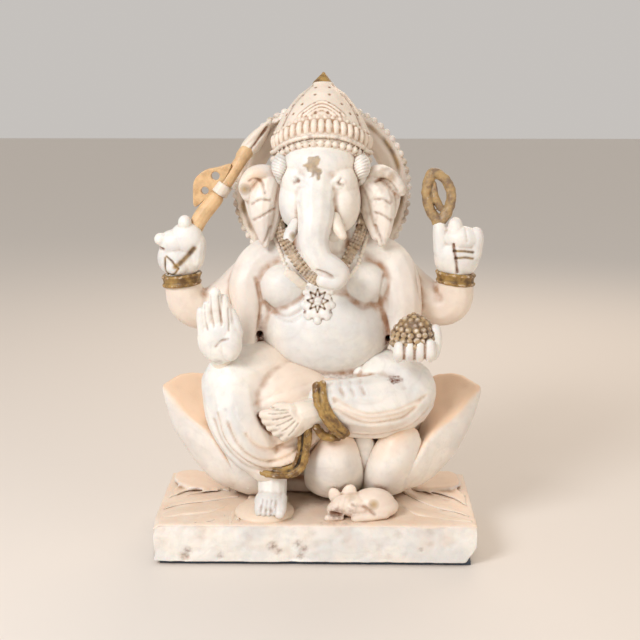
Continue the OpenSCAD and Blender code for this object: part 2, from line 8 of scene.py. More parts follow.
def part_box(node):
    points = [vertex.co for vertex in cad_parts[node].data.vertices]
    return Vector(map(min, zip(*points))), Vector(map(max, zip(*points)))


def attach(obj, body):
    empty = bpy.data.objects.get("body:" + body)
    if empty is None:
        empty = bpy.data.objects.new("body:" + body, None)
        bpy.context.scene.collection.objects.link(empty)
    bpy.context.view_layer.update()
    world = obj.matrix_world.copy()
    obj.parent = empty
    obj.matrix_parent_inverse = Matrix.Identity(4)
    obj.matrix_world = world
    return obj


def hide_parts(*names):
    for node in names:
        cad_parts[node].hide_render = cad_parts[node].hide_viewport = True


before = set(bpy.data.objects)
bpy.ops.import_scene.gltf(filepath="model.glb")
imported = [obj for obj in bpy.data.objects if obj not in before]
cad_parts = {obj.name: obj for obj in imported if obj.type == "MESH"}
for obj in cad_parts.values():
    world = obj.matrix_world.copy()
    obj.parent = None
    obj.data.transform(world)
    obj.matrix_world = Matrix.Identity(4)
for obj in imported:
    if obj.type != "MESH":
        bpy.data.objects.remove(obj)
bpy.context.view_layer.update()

bpy.ops.object.select_all(action="DESELECT")

# ---------------------------------------------------------------- felt pad
# A thin sheet of pressed blue-grey wool felt, cut by hand a little smaller than
# the slab and glued under it, so that the stone doesn't scratch its shelf.

seat_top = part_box("lotus_core")[1].z
middle = (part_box("torso")[0].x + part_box("torso")[1].x) / 2
figure_height = 210.5
# One millimetre at the idol's own scale, from the seat's top to the crown's tip
MM = (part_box("crown_finial")[1].z - seat_top) / figure_height


def at(x, y, z):
    """A place in millimetres: x from the figure's middle, y from the slab's middle, z from the seat's top."""
    return Vector((middle + x * MM, y * MM, seat_top + z * MM))


def linear(hex_colour):
    """An sRGB hex colour as linear RGBA."""
    parts = [int(hex_colour[i:i + 2], 16) / 255 for i in (1, 3, 5)]
    return [c / 12.92 if c <= 0.04045 else ((c + 0.055) / 1.055) ** 2.4 for c in parts] + [1]


def add_node(material, kind, output, inputs=None, stops=(), **settings):
    """Adds a shader node and gives one of its outputs; an input takes a value or the output that feeds it."""
    node = material.node_tree.nodes.new("ShaderNode" + kind)
    for name, value in settings.items():
        setattr(node, name, value)
    for name, value in (inputs or {}).items():
        if isinstance(value, bpy.types.NodeSocket):
            material.node_tree.links.new(value, node.inputs[name])
        else:
            node.inputs[name].default_value = value
    for place, colour in stops:
        ends = node.color_ramp.elements
        stop = ends[0] if place == 0 else ends[-1] if place == 1 else ends.new(place)
        stop.color = colour if isinstance(colour, list) else [colour] * 3 + [1]
    return node.outputs[output]


def start_material(name):
    material = bpy.data.materials.new(name)
    material.use_nodes = True
    return material, material.node_tree.nodes["Principled BSDF"]


def take(piece):
    """Makes a piece the only one selected, and the active one."""
    bpy.ops.object.select_all(action="DESELECT")
    piece.select_set(True)
    bpy.context.view_layer.objects.active = piece


def shape_with(piece, kind, **settings):
    """Adds a modifier and applies it."""
    modifier = piece.modifiers.new(kind, kind)
    for name, value in settings.items():
        setattr(modifier, name, value)
    take(piece)
    bpy.ops.object.modifier_apply(modifier=modifier.name)


def surface(piece):
    """A piece's points in the millimetres that at() takes, and its normals."""
    count = len(piece.data.vertices)
    points = np.empty(3 * count)
    normals = np.empty(3 * count)
    piece.data.vertices.foreach_get("co", points)
    piece.data.vertices.foreach_get("normal", normals)
    return (points.reshape(-1, 3) - np.array(at(0, 0, 0))) / MM, normals.reshape(-1, 3)


def reshape(piece, points):
    piece.data.vertices.foreach_set("co", (points * MM + np.array(at(0, 0, 0))).ravel())
    piece.data.update()


def stain(piece, name, amount):
    """Adds to one of the point attributes that the marble's finish reads, up to 1."""
    layer = piece.data.attributes.get(name) or piece.data.attributes.new(name, "FLOAT", "POINT")
    before = np.empty(len(layer.data))
    layer.data.foreach_get("value", before)
    layer.data.foreach_set("value", np.clip(before + amount, 0, 1))


def ripple(points, size, height):
    """Smooth noise of that size and height, both in millimetres, at each point."""
    return np.array([noise.noise(Vector(p) / size) for p in points]) * height


def finish(piece, material, slot, *nodes):
    """Gives a piece its finish and its body, and hides the CAD nodes that it stands for."""
    piece.data.materials.clear()
    piece.data.materials.append(material)
    take(piece)
    bpy.ops.object.shade_smooth()
    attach(piece, "root")
    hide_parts(*nodes)
    return piece


# Pressed wool felt: matt and fuzzy, with fibres that catch light in small specks
felt, felt_surface = start_material("pressed_wool_felt")
felt_place = add_node(felt, "TexCoord", "Object")
fibres = add_node(felt, "TexNoise", "Fac", {"Vector": felt_place, "Scale": 1 / (0.9 * MM), "Detail": 5.0})
felt_tone = add_node(felt, "ValToRGB", "Color", {"Fac": fibres},
                     [(0, linear("#1d2733")), (0.5, linear("#3a4757")), (1, linear("#5d6b7a"))])
felt_bump = add_node(felt, "Bump", "Normal", {"Height": fibres, "Strength": 0.6, "Distance": 0.4 * MM})
felt.node_tree.links.new(felt_tone, felt_surface.inputs["Base Color"])
felt.node_tree.links.new(felt_bump, felt_surface.inputs["Normal"])
felt_surface.inputs["Roughness"].default_value = 0.95
felt_surface.inputs["Sheen Weight"].default_value = 0.3

low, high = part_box("felt_pad")
bpy.ops.mesh.primitive_cube_add(size=1, location=(low + high) / 2, scale=high - low)
felt_pad = bpy.context.object
felt_pad.name = "felt_sheet"
bpy.ops.object.transform_apply(location=True, rotation=True, scale=True)
bpy.ops.object.mode_set(mode="EDIT")
bpy.ops.mesh.subdivide(number_cuts=40)
bpy.ops.object.mode_set(mode="OBJECT")
points, normals = surface(felt_pad)
sideways = normals * [1, 1, 0]
reshape(felt_pad, points + sideways * ripple(points, 9, 0.7)[:, None])
finish(felt_pad, felt, "felt", "felt_pad")

# ---------------------------------------------------------------- base slab
# The bottom of the marble block, sawn square and left rough, then rubbed by
# years of handling. Its edges are worn, and iron in the stone has rusted in pits.


def lump(x, y, z, wide, deep, high, turn=(0, 0, 0)):
    """A rounded lump of stone: its middle, its three sizes and its turns in degrees."""
    bpy.ops.mesh.primitive_uv_sphere_add(
        segments=28, ring_count=16, radius=0.5, location=at(x, y, z),
        rotation=[math.radians(a) for a in turn], scale=(wide * MM, deep * MM, high * MM))
    return bpy.context.object


def block(x, y, z, wide, deep, high, turn=(0, 0, 0)):
    bpy.ops.mesh.primitive_cube_add(
        size=1, location=at(x, y, z),
        rotation=[math.radians(a) for a in turn], scale=(wide * MM, deep * MM, high * MM))
    return bpy.context.object


def join(name, parts):
    bpy.ops.object.select_all(action="DESELECT")
    for part in parts:
        part.select_set(True)
    bpy.context.view_layer.objects.active = parts[0]
    if len(parts) > 1:
        bpy.ops.object.join()
    parts[0].name = name
    bpy.ops.object.transform_apply(location=True, rotation=True, scale=True)
    return parts[0]


def carve(name, parts, grain, soften, cuts=()):
    """Makes one skin round all the parts, takes the cuts out of it, and rubs it smooth."""
    piece = join(name, parts)
    shape_with(piece, "REMESH", mode="VOXEL", voxel_size=grain * MM)
    for cutter in cuts:
        shape_with(piece, "BOOLEAN", operation="DIFFERENCE", object=cutter, solver="MANIFOLD")
        bpy.data.objects.remove(cutter)
    if cuts:
        shape_with(piece, "REMESH", mode="VOXEL", voxel_size=grain * MM)
    if soften:
        shape_with(piece, "SMOOTH", factor=0.5, iterations=soften)
    return piece


def neighbour_mean(piece, values):
    """The mean of a value over each point's neighbours."""
    ends = np.empty(2 * len(piece.data.edges), int)
    piece.data.edges.foreach_get("vertices", ends)
    others = ends.reshape(-1, 2)[:, ::-1].ravel()
    count = np.bincount(ends, minlength=len(values)).clip(1)
    columns = [np.bincount(ends, column[others], len(values)) / count for column in np.atleast_2d(values.T)]
    return np.stack(columns, 1) if values.ndim > 1 else columns[0]


def weather(piece, reach=8, depth=0.35):
    """Marks the hollows that dust and wax have settled in and that painted shade darkens, and the ridges that
    hands have rubbed clean.
    """
    points, normals = surface(piece)
    flat = points
    for _ in range(reach):
        flat = neighbour_mean(piece, flat)
    hollow = ((flat - points) * normals).sum(1) / depth
    for _ in range(2):
        hollow = neighbour_mean(piece, hollow)
    stain(piece, "hollow", np.clip(hollow, 0, 1))
    stain(piece, "ridge", np.clip(-hollow, 0, 1))


def near(points, x, y, z, radius):
    """1 at a place, falling to 0 at the radius round it."""
    gap = np.linalg.norm(points - [x, y, z], axis=1) / radius
    return np.clip(1 - gap, 0, 1) ** 0.7


def marble_finish(name, face, shade, warm, paint, paint_shade, painted):
    """Hand-polished white marble: cloudy, faintly veined, cream in patches, with brown dust and painted shade
    in its hollows, rust where marked, and worn paint.
    """
    stone, skin = start_material(name)
    place = add_node(stone, "TexCoord", "Object")
    clouds = add_node(stone, "TexNoise", "Fac", {"Vector": place, "Scale": 1 / (26 * MM), "Detail": 3.0})
    mottle = add_node(stone, "TexNoise", "Fac", {"Vector": place, "Scale": 1 / (6 * MM), "Detail": 6.0,
                                                 "Roughness": 0.62})
    grains = add_node(stone, "TexNoise", "Fac", {"Vector": place, "Scale": 1 / (1.1 * MM), "Detail": 4.0})
    specks = add_node(stone, "TexNoise", "Fac", {"Vector": place, "Scale": 1 / (2.2 * MM), "Detail": 4.0})
    base = add_node(stone, "ValToRGB", "Color", {"Fac": clouds},
                    [(0, linear(face)), (0.42, linear(face)), (0.6, linear(shade)), (1, linear(shade))])
    grey = add_node(stone, "ValToRGB", "Color", {"Fac": mottle},
                    [(0, 0.0), (0.5, 0.0), (0.72, 0.35), (1, 0.5)])
    greyed = add_node(stone, "MixRGB", "Color", {"Fac": grey, "Color1": base, "Color2": linear("#c3c4c4")})
    # Veins are thin lines where a bent noise passes its middle value
    vein_noise = add_node(stone, "TexNoise", "Fac", {"Vector": place, "Scale": 1 / (38 * MM), "Detail": 5.0,
                                                     "Distortion": 0.8})
    veins = add_node(stone, "ValToRGB", "Color", {"Fac": vein_noise},
                     [(0, 0.0), (0.46, 0.0), (0.5, 0.13), (0.54, 0.0), (1, 0.0)])
    veined = add_node(stone, "MixRGB", "Color", {"Fac": veins, "Color1": greyed, "Color2": linear("#b3aca2")})
    # Cream from old wax in broad patches, and peach wherever the warm mark is set: partly a real stain,
    # partly a painted reflection of the warm surroundings
    warm_mark = add_node(stone, "Attribute", "Fac", attribute_name="warm")
    warm_patch = add_node(stone, "MapRange", "Result", {"Value": clouds, "From Min": 0.35, "From Max": 0.7,
                                                        "To Min": warm, "To Max": warm + 0.14})
    warm_sum = add_node(stone, "Math", "Value", {0: warm_mark, 1: warm_patch}, operation="ADD",
                        use_clamp=True)
    warmed = add_node(stone, "MixRGB", "Color", {"Fac": warm_sum, "Color1": veined,
                                                 "Color2": linear("#eccdaf")})
    # Brown dust and painted shade in the hollows of a piece, and painted shade from ambient occlusion where
    # two pieces meet
    hollow = add_node(stone, "Attribute", "Fac", attribute_name="hollow")
    occlusion = add_node(stone, "AmbientOcclusion", "AO", {"Distance": 5 * MM}, samples=8)
    occlusion_shade = add_node(stone, "MapRange", "Result", {"Value": occlusion, "From Min": 0.55, "From Max": 0.1,
                                                     "To Min": 0.0, "To Max": 0.8})
    dust_and_shade = add_node(stone, "Math", "Value", {0: hollow, 1: occlusion_shade}, operation="MAXIMUM")
    patchy = add_node(stone, "MapRange", "Result", {"Value": mottle, "From Min": 0.3, "From Max": 0.6,
                                                    "To Min": 0.45, "To Max": 1.0})
    dust_and_shade_share = add_node(stone, "Math", "Value", {0: dust_and_shade, 1: patchy}, operation="MULTIPLY", use_clamp=True)
    dusted_and_shaded = add_node(stone, "MixRGB", "Color", {"Fac": dust_and_shade_share, "Color1": warmed,
                                                "Color2": linear("#a9805f")})
    # Rust, dark grime, and painted shade in holes and creases, only where it is marked
    grime = add_node(stone, "Attribute", "Fac", attribute_name="grime")
    speckle = add_node(stone, "MapRange", "Result", {"Value": specks, "From Min": 0.4, "From Max": 0.6,
                                                     "To Min": 0.35, "To Max": 1.0})
    grime_share = add_node(stone, "Math", "Value", {0: grime, 1: speckle}, operation="MULTIPLY",
                           use_clamp=True)
    grimed_and_shaded = add_node(stone, "MixRGB", "Color", {"Fac": grime_share, "Color1": dusted_and_shaded,
                                                "Color2": linear("#6a3a22")})
    # Gold-brown paint, rubbed off the ridges and dark in the hollows with dust and painted shade
    gilt = add_node(stone, "Attribute", "Fac", attribute_name="gilt")
    ridge = add_node(stone, "Attribute", "Fac", attribute_name="ridge")
    coat = add_node(stone, "Math", "Value", {0: gilt, 1: painted}, operation="ADD", use_clamp=True)
    rubbed = add_node(stone, "Math", "Value", {0: ridge, 1: 0.32, 2: 0.0}, operation="MULTIPLY_ADD")
    thin = add_node(stone, "Math", "Value", {0: specks, 1: rubbed}, operation="ADD")
    kept = add_node(stone, "MapRange", "Result", {"Value": thin, "From Min": 1.0, "From Max": 0.74,
                                                  "To Min": 0.1, "To Max": 1.0})
    coat_share = add_node(stone, "Math", "Value", {0: coat, 1: kept}, operation="MULTIPLY", use_clamp=True)
    paint_tone = add_node(stone, "ValToRGB", "Color", {"Fac": mottle},
                          [(0, linear(paint_shade)), (0.4, linear(paint_shade)), (0.58, linear(paint)),
                           (1, linear(paint))])
    paint_dust_and_shade = add_node(stone, "MixRGB", "Color", {"Fac": dust_and_shade, "Color1": paint_tone,
                                                     "Color2": linear("#3a2814")})
    painted_stone = add_node(stone, "MixRGB", "Color", {"Fac": coat_share, "Color1": grimed_and_shaded,
                                                        "Color2": paint_dust_and_shade})
    polish = add_node(stone, "MapRange", "Result", {"Value": mottle, "From Min": 0.3, "From Max": 0.7,
                                                    "To Min": 0.34, "To Max": 0.55})
    bumps = add_node(stone, "Math", "Value", {0: mottle, 1: grains}, operation="ADD")
    relief = add_node(stone, "Bump", "Normal", {"Height": bumps, "Strength": 0.35, "Distance": 0.35 * MM})
    for socket, feed in (("Base Color", painted_stone), ("Roughness", polish), ("Normal", relief)):
        stone.node_tree.links.new(feed, skin.inputs[socket])
    skin.inputs["IOR"].default_value = 1.5
    skin.inputs["Subsurface Weight"].default_value = 0.12
    skin.inputs["Subsurface Scale"].default_value = 4 * MM
    return stone


GOLD = "#a8864a"
GOLD_SHADE = "#6b4c27"
marble = marble_finish("polished_marble", "#eeeae2", "#dcdddb", 0.0, GOLD, GOLD_SHADE, 0.0)
waxed = marble_finish("waxed_marble", "#ece3d5", "#e0d8cb", 0.1, GOLD, GOLD_SHADE, 0.0)
gilded = marble_finish("gilded_marble", "#ebdfca", "#dfd4c2", 0.1, GOLD, GOLD_SHADE, 0.85)
amber = marble_finish("amber_gilt_marble", "#f0dcb8", "#e6cfa8", 0.15, "#dcaa66", "#b58446", 0.55)

low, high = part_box("base_slab")
slab_low = (low - at(0, 0, 0)) / MM
slab_high = (high - at(0, 0, 0)) / MM
slab_mid = (slab_low + slab_high) / 2
slab_size = slab_high - slab_low
slab = carve(
    "slab", [block(*slab_mid, *slab_size)], 1.25, 7,
    [block(slab_high.x - 1, slab_low.y + 4, slab_low.z + 1, 9, 40, 18, (0, 35, 0)),
     lump(slab_low.x - 2, slab_low.y, slab_high.z + 1, 12, 30, 8),
     lump(slab_low.x + 20, slab_low.y - 1, slab_low.z + 4, 9, 5, 5, (0, 30, 0)),
     lump(slab_high.x - 30, slab_low.y - 1, slab_high.z, 16, 5, 4)])
points, normals = surface(slab)
rough = ripple(points, 14, 0.9) + ripple(points, 5, 0.6) + ripple(points, 2.4, 0.35)
pits = np.zeros(len(points))
# Rusted pits on the front face, each an x, a z and a radius
pit_edge = (1 + 1.5 * ripple(points, 1.6, 1)).clip(0, 1)
for x, z, radius in [(-81, -78, 3.5), (-83, -82, 3), (-61, -81, 2.5), (-29, -74, 4), (-25, -78, 3),
                     (-13, -73, 3.5), (-10, -76, 3.5), (-12, -81, 2.5), (62, -76, 2)]:
    pits = np.maximum(pits, near(points, x, slab_low.y, z, radius) * pit_edge)
on_sides = np.clip(1 - np.abs(normals[:, 2]), 0, 1)
inside_box = np.minimum(rough, 0.4) - 0.7 - 0.9 * pits
reshape(slab, points + normals * inside_box[:, None] * np.maximum(on_sides, 0.35)[:, None])
stain(slab, "grime", 0.75 * pits)
# Peach on the upward faces: partly a real stain, partly a painted reflection of the warm surroundings; more
# in random patches
top_side = np.clip(normals[:, 2], 0, 1)
stain(slab, "warm", 0.6 * top_side + 0.3 * np.clip(ripple(points, 11, 1), 0, 1))
for x, y, radius in [(7, -45, 6), (16, -46, 4), (1, -47, 3), (28, -44, 3), (-18, -20, 5), (0, -12, 6)]:
    stain(slab, "grime", 0.35 * near(points, x, y, slab_high.z, radius) * top_side)
weather(slab, 10, 1.3)
finish(slab, marble, "marble", "base_slab")

# ---------------------------------------------------------------- slab leaves
# Broad flat lotus leaves carved on the slab's top, three on each side, with
# thick rolled edges and a shallow dish between them.


def smooth_path(points, steps=6):
    """A smooth curve through the given points, which carries every column along."""
    rows = np.array(points, float)
    padded = np.vstack([2 * rows[0] - rows[1], rows, 2 * rows[-1] - rows[-2]])
    curve = []
    for a, b, c, d in zip(padded, padded[1:], padded[2:], padded[3:]):
        for s in np.linspace(0, 1, steps, endpoint=False):
            curve.append(0.5 * (2 * b + (c - a) * s + (2 * a - 5 * b + 4 * c - d) * s ** 2
                                + (3 * b - a - 3 * c + d) * s ** 3))
    return np.array(curve + [rows[-1]])


def petal_form(left_rim, keel, right_rim, dish):
    """A solid petal from its root to its tip: two rims, the keel of its hull, and a dish between the rims."""
    rings = []
    for left, low_point, right in zip(smooth_path(left_rim), smooth_path(keel), smooth_path(right_rim)):
        chord = (left + right) / 2
        pull = 2 * low_point - chord
        hull = [(1 - t) ** 2 * left + 2 * t * (1 - t) * pull + t * t * right for t in np.linspace(0, 1, 11)]
        inner = [right + (left - right) * t + dish * 4 * t * (1 - t) * (low_point - chord)
                 for t in np.linspace(0, 1, 9)[1:-1]]
        rings.append(hull + inner)
    size = len(rings[0])
    corners = [at(*p) for ring in rings for p in ring]
    faces = [[i * size + j, i * size + (j + 1) % size, (i + 1) * size + (j + 1) % size, (i + 1) * size + j]
             for i in range(len(rings) - 1) for j in range(size)]
    faces += [list(range(size)), list(range((len(rings) - 1) * size, len(rings) * size))]
    mesh = bpy.data.meshes.new("petal")
    mesh.from_pydata(corners, [], faces)
    piece = bpy.data.objects.new("petal", mesh)
    bpy.context.collection.objects.link(piece)
    return piece


def carve_petals(name, forms, grain, edge, soften):
    """Carves petals as one piece, with their edges rounded to that radius."""
    piece = carve(name, forms, grain, 2)
    shape_with(piece, "DISPLACE", strength=edge * MM, mid_level=0.0)
    shape_with(piece, "REMESH", mode="VOXEL", voxel_size=grain * MM)
    shape_with(piece, "SMOOTH", factor=0.5, iterations=soften)
    points, normals = surface(piece)
    reshape(piece, points + normals * ripple(points, 18, 0.8)[:, None])
    return piece


leaf_forms = [
    # front, middle and back leaf at the figure's right
    petal_form([(-54, -20, -60), (-64, -42, -60), (-82, -48, -60), (-98, -48, -60)],
               [(-54, -8, -61), (-72, -16, -61), (-88, -22, -61), (-99, -34, -61)],
               [(-52, 4, -59.5), (-70, 10, -59), (-88, 2, -59), (-100, -20, -59.5)], 0.5),
    petal_form([(-58, -26, -60), (-60, -38, -60), (-58, -48, -60)],
               [(-54, -24, -61), (-54, -36, -61), (-55, -48, -61)],
               [(-50, -24, -59.5), (-48, -36, -59.5), (-50, -48, -60)], 0.4),
    petal_form([(-60, 8, -59.5), (-74, 13, -58.5), (-88, 8, -58.5), (-99, -6, -59.5)],
               [(-60, 18, -61), (-74, 22, -61), (-88, 18, -61), (-99, 2, -61)],
               [(-60, 26, -59), (-76, 30, -58), (-90, 26, -58), (-99, 10, -59)], 0.5),
    petal_form([(-66, 10, -59.5), (-80, 8, -57.5), (-92, 13, -56.5), (-98, 24, -56)],
               [(-66, 26, -62), (-80, 26, -62), (-92, 28, -61.5), (-98, 30, -60)],
               [(-66, 40, -59.5), (-80, 42, -57), (-92, 40, -55.5), (-98, 34, -55.5)], 0.1),
]
right_leaves = carve_petals("right_slab_leaves", leaf_forms, 0.9, 0.8, 3)
leaf_forms = [
    petal_form([(42, 4, -60), (48, -18, -60), (56, -38, -60), (76, -48, -60), (93, -48, -60)],
               [(46, 8, -61), (56, -10, -61), (66, -24, -61), (80, -34, -61), (94, -42, -61)],
               [(52, 18, -59.5), (66, 14, -59), (82, -4, -59), (92, -24, -59.5), (94, -38, -60)], 0.5),
    petal_form([(60, 14, -59.5), (72, 8, -58.5), (86, -4, -58.5), (94, -20, -59.5)],
               [(60, 22, -61), (72, 18, -61), (86, 8, -61), (94, -10, -61)],
               [(60, 28, -59), (74, 26, -58), (88, 16, -58), (94, 2, -59)], 0.5),
    petal_form([(60, 14, -59.5), (70, 10, -57.5), (82, 8, -56.5), (91, 15, -56)],
               [(60, 28, -62), (70, 27, -62), (82, 26, -61.5), (92, 26, -60)],
               [(60, 40, -59.5), (72, 42, -57), (84, 41, -55.5), (91, 34, -55.5)], 0.1),
]
left_leaves = carve_petals("left_slab_leaves", leaf_forms, 0.9, 0.8, 3)
for leaves in (right_leaves, left_leaves):
    points, normals = surface(leaves)
    # Peach on the upward faces: partly a real stain, partly a painted reflection of the warm surroundings
    stain(leaves, "warm", 0.7 * np.clip(normals[:, 2], 0, 1))
    weather(leaves)
finish(right_leaves, marble, "tinted_marble", "base_leaves")
finish(left_leaves, marble, "tinted_marble")

# ---------------------------------------------------------------- foot plinth
# A low rounded block, left standing on the slab under the lowered foot.

plinth = carve("foot_plinth", [
    lump(-35, -27, -60, 38, 42, 12),
    lump(-34, -31, -59, 32, 32, 10),
    block(-34, -18, -59, 26, 26, 5)], 1.0, 10)
stain(plinth, "warm", 0.35)
weather(plinth)
finish(plinth, waxed, "marble", "foot_rest")

# ---------------------------------------------------------------- mouse
# The idol's small mouse, lying on the slab at the figure's left with its head
# turned to the front: big ears, a dark open mouth and folded paws.


def roll(path):
    """A roll of stone along a smooth path with round ends; each point is x, y, z and a radius."""
    rows = smooth_path(path)
    for end, before in ((0, 1), (-1, -2)):
        way = rows[end, :3] - rows[before, :3]
        way /= max(np.linalg.norm(way), 1e-6)
        radius = rows[end, 3]
        cap = [np.append(rows[end, :3] + way * radius * math.sin(t), radius * math.cos(t))
               for t in (0.4, 0.8, 1.15, 1.45)]
        rows = np.vstack([cap[::-1], rows]) if end == 0 else np.vstack([rows, cap])
    line = bpy.data.curves.new("roll", "CURVE")
    line.dimensions = "3D"
    line.bevel_depth = 1.0
    line.bevel_resolution = 4
    line.use_fill_caps = True
    spline = line.splines.new("POLY")
    spline.points.add(len(rows) - 1)
    for knot, (x, y, z, radius) in zip(spline.points, rows):
        knot.co = (*at(x, y, z), 1)
        knot.radius = radius * MM
    piece = bpy.data.objects.new("roll", line)
    bpy.context.collection.objects.link(piece)
    take(piece)
    bpy.ops.object.convert(target="MESH")
    return bpy.context.object


def path_gap(points, path):
    """Each point's distance, seen from the front, from a path of (x, z), and the side of it that it is on."""
    line = smooth_path(path)
    gap = np.full(len(points), 1e6)
    side = np.zeros(len(points))
    for a, b in zip(line[:-1], line[1:]):
        way = b - a
        off = points[:, [0, 2]] - a
        along = np.clip(off @ way / (way @ way), 0, 1)
        away = np.linalg.norm(off - along[:, None] * way, axis=1)
        closer = away < gap
        gap[closer] = away[closer]
        side[closer] = np.sign(way[0] * off[closer, 1] - way[1] * off[closer, 0])
    return gap, side


def score(piece, path, depth, width, **stains):
    """Cuts a groove along a path seen from the front; below zero, the depth raises a ridge."""
    points, normals = surface(piece)
    gap, side = path_gap(points, path)
    facing = np.clip(0.3 - 1.5 * normals[:, 1], 0, 1)
    share = np.exp(-(gap / width) ** 2) * facing
    reshape(piece, points - normals * (share * depth)[:, None])
    for name, amount in stains.items():
        stain(piece, name, np.clip(share * amount * 1.3, 0, amount))


def fold(piece, path, height, width, **stains):
    """Lets the surface on a path's left side rise over the other, like a fold of cloth."""
    points, normals = surface(piece)
    gap, side = path_gap(points, path)
    facing = np.clip(0.3 - 1.5 * normals[:, 1], 0, 1)
    rise = np.where(side > 0, np.exp(-gap / width) * np.clip(gap / 0.8, 0.3, 1),
                    -0.5 * np.exp(-(gap / 1.2) ** 2))
    reshape(piece, points + normals * (rise * height * facing)[:, None])
    for name, amount in stains.items():
        stain(piece, name, amount * np.exp(-(gap / 1.3) ** 2) * facing)


def spots(piece, name, *places):
    """Stains round patches on a piece; each place is x, y, z, a radius and an amount."""
    points, normals = surface(piece)
    for x, y, z, radius, amount in places:
        stain(piece, name, amount * near(points, x, y, z, radius))


mouse = carve("mouse", [
    lump(33, -30, -53, 28, 22, 19),
    lump(36, -30, -55, 26, 24, 14),
    lump(22, -31, -54, 22, 22, 15),
    roll([(22, -32, -53, 7), (14, -34, -53, 6.5), (9, -36, -55, 5)]),
    lump(9, -31, -48, 8, 5, 11, (0, -20, 0)),
    lump(18, -30, -46, 9, 5, 11, (0, 30, 0)),
    roll([(40, -38, -57, 3.5), (30, -41, -58, 3.2), (22, -42, -58.5, 3)]),
    roll([(12, -40, -58.5, 3), (5, -41, -59, 2.5)])], 0.6, 3,
    [lump(10, -41, -56.5, 13, 6, 2.6, (0, 12, 0))])
for x in (13, 16, 19):
    score(mouse, [(x, -47), (x - 1.5, -51), (x - 1, -55)], 0.15, 0.6, grime=0.1)
score(mouse, [(20, -50), (28, -52), (34, -56)], 0.8, 1.0, grime=0.3)
spots(mouse, "grime", (10, -40, -57, 6, 1.0), (20, -41, -55, 5, 0.5))
spots(mouse, "gilt", (33, -41, -50, 4, 0.9), (19, -35, -48, 4, 0.4))
stain(mouse, "warm", 0.45)
weather(mouse)
finish(mouse, marble, "marble", "mouse")

# ---------------------------------------------------------------- lotus core
# The solid heart of the seat, a bowl that leans out over the slab and ends in
# a slightly hollow top, on which the figure sits.

core = carve("seat_core", [
    lump(0, 26, -54, 118, 40, 40),
    lump(0, 22, -32, 128, 48, 44),
    lump(0, 20, -14, 148, 52, 30),
    block(0, 29, -53, 112, 30, 14)], 1.4, 10,
    [block(0, 28, -70, 300, 100, 20), block(0, 62, -30, 300, 30, 120)])
stain(core, "warm", 0.5)
weather(core, 10)
finish(core, marble, "tinted_marble", "lotus_core")

# ---------------------------------------------------------------- lotus petals
# Thick pointed petals carved round the seat. The big side ones turn up like
# boats, polished white outside and peach on the inner face, partly a stain and
# partly a painted reflection of the warm surroundings.


def side_petal(side, rows, dish):
    """One boat-shaped petal, from rows of places given for the figure's left side."""
    return petal_form(*[[(side * x, y, z) for x, y, z in row] for row in rows], dish)


outer_petal = [
    [(44, -18, -50), (58, -22, -30), (70, -16, -13), (84, -8, -3), (95, 4, 6), (102, 10, 11)],
    [(40, 8, -56), (64, 2, -49), (79.5, 3, -36), (93, 7, -16), (99.5, 10, 1), (102.5, 12, 11)],
    [(44, 34, -50), (60, 37, -18), (70, 39, 7), (82, 38, 14), (94, 27, 14.5), (102, 14, 12)]]
tucked_petal = [
    [(40, 0, -52), (58, 0, -32), (74, 2, -14), (86, 8, -4), (94, 18, 2)],
    [(40, 20, -57), (66, 16, -47), (82, 17, -31), (93, 20, -12), (96, 22, 0)],
    [(40, 42, -50), (58, 44, -26), (72, 44, -4), (84, 40, 6), (94, 26, 5)]]
petal_of = {}
for side, name in ((-1, "right"), (1, "left")):
    petal_of[name + "_outer_petal"] = carve_petals(
        name + "_outer_petal", [side_petal(side, outer_petal, 0.07)], 1.2, 1.2, 4)
    petal_of[name + "_tucked_petal"] = carve_petals(
        name + "_tucked_petal", [side_petal(side, tucked_petal, 0.1)], 1.2, 1.0, 4)

front_petals = {
    "middle_petal": (1.0, [
        [(-4, 10, -60), (-10, -6, -49), (-9, -20, -30), (0, -24, -14), (12, -20, -5)],
        [(8, 8, -62), (8, -20, -51), (9, -34, -31), (10, -32, -15), (12, -21, -6)],
        [(20, 10, -60), (27, -6, -49), (27, -20, -31), (22, -23, -15), (13, -20, -6)]]),
    "left_front_petal": (1.0, [
        [(30, 10, -60), (27, -6, -49), (28, -18, -32), (36, -21, -14), (50, -16, -2)],
        [(42, 10, -62), (42, -16, -51), (45, -30, -32), (48, -27, -16), (52, -18, -3)],
        [(54, 12, -60), (61, 0, -48), (65, -10, -30), (62, -15, -12), (54, -15, -2)]]),
    "right_front_petal": (1.0, [
        [(-56, 12, -60), (-64, 0, -48), (-67, -10, -30), (-62, -12, -12), (-52, -12, 0)],
        [(-42, 10, -62), (-45, -14, -51), (-48, -24, -32), (-50, -20, -14), (-52, -14, -1)],
        [(-28, 10, -60), (-26, -6, -49), (-28, -14, -32), (-36, -16, -14), (-50, -13, -1)]]),
    "gap_petal": (0.8, [
        [(16, 6, -52), (17, -12, -34), (18, -19, -20), (22, -20, -8)],
        [(27, 2, -54), (27, -16, -36), (27, -22, -22), (27, -21, -8)],
        [(38, 6, -52), (37, -12, -34), (36, -18, -20), (32, -19, -8)]]),
}
for name, (edge, rows) in front_petals.items():
    petal_of[name] = carve_petals(name, [petal_form(*rows, 0.0)], 1.1, edge, 4)
petal_nodes = {"right_outer_petal": ["lotus_petals_outer"], "right_tucked_petal": ["lotus_petals_inner"]}
for name, petal in petal_of.items():
    points, normals = surface(petal)
    # Peach on the upward faces, partly a stain and partly a painted reflection of the warm surroundings, with
    # a little all over
    stain(petal, "warm", 0.85 * np.clip(normals[:, 2] * 1.6 - 0.2, 0, 1) + 0.12)
    weather(petal)
    finish(petal, marble, "marble", *petal_nodes.get(name, []))

# ---------------------------------------------------------------- body
# Belly, chest, neck and the four upper arms, carved in one from the block and
# polished most where the light and the hand fall on them.

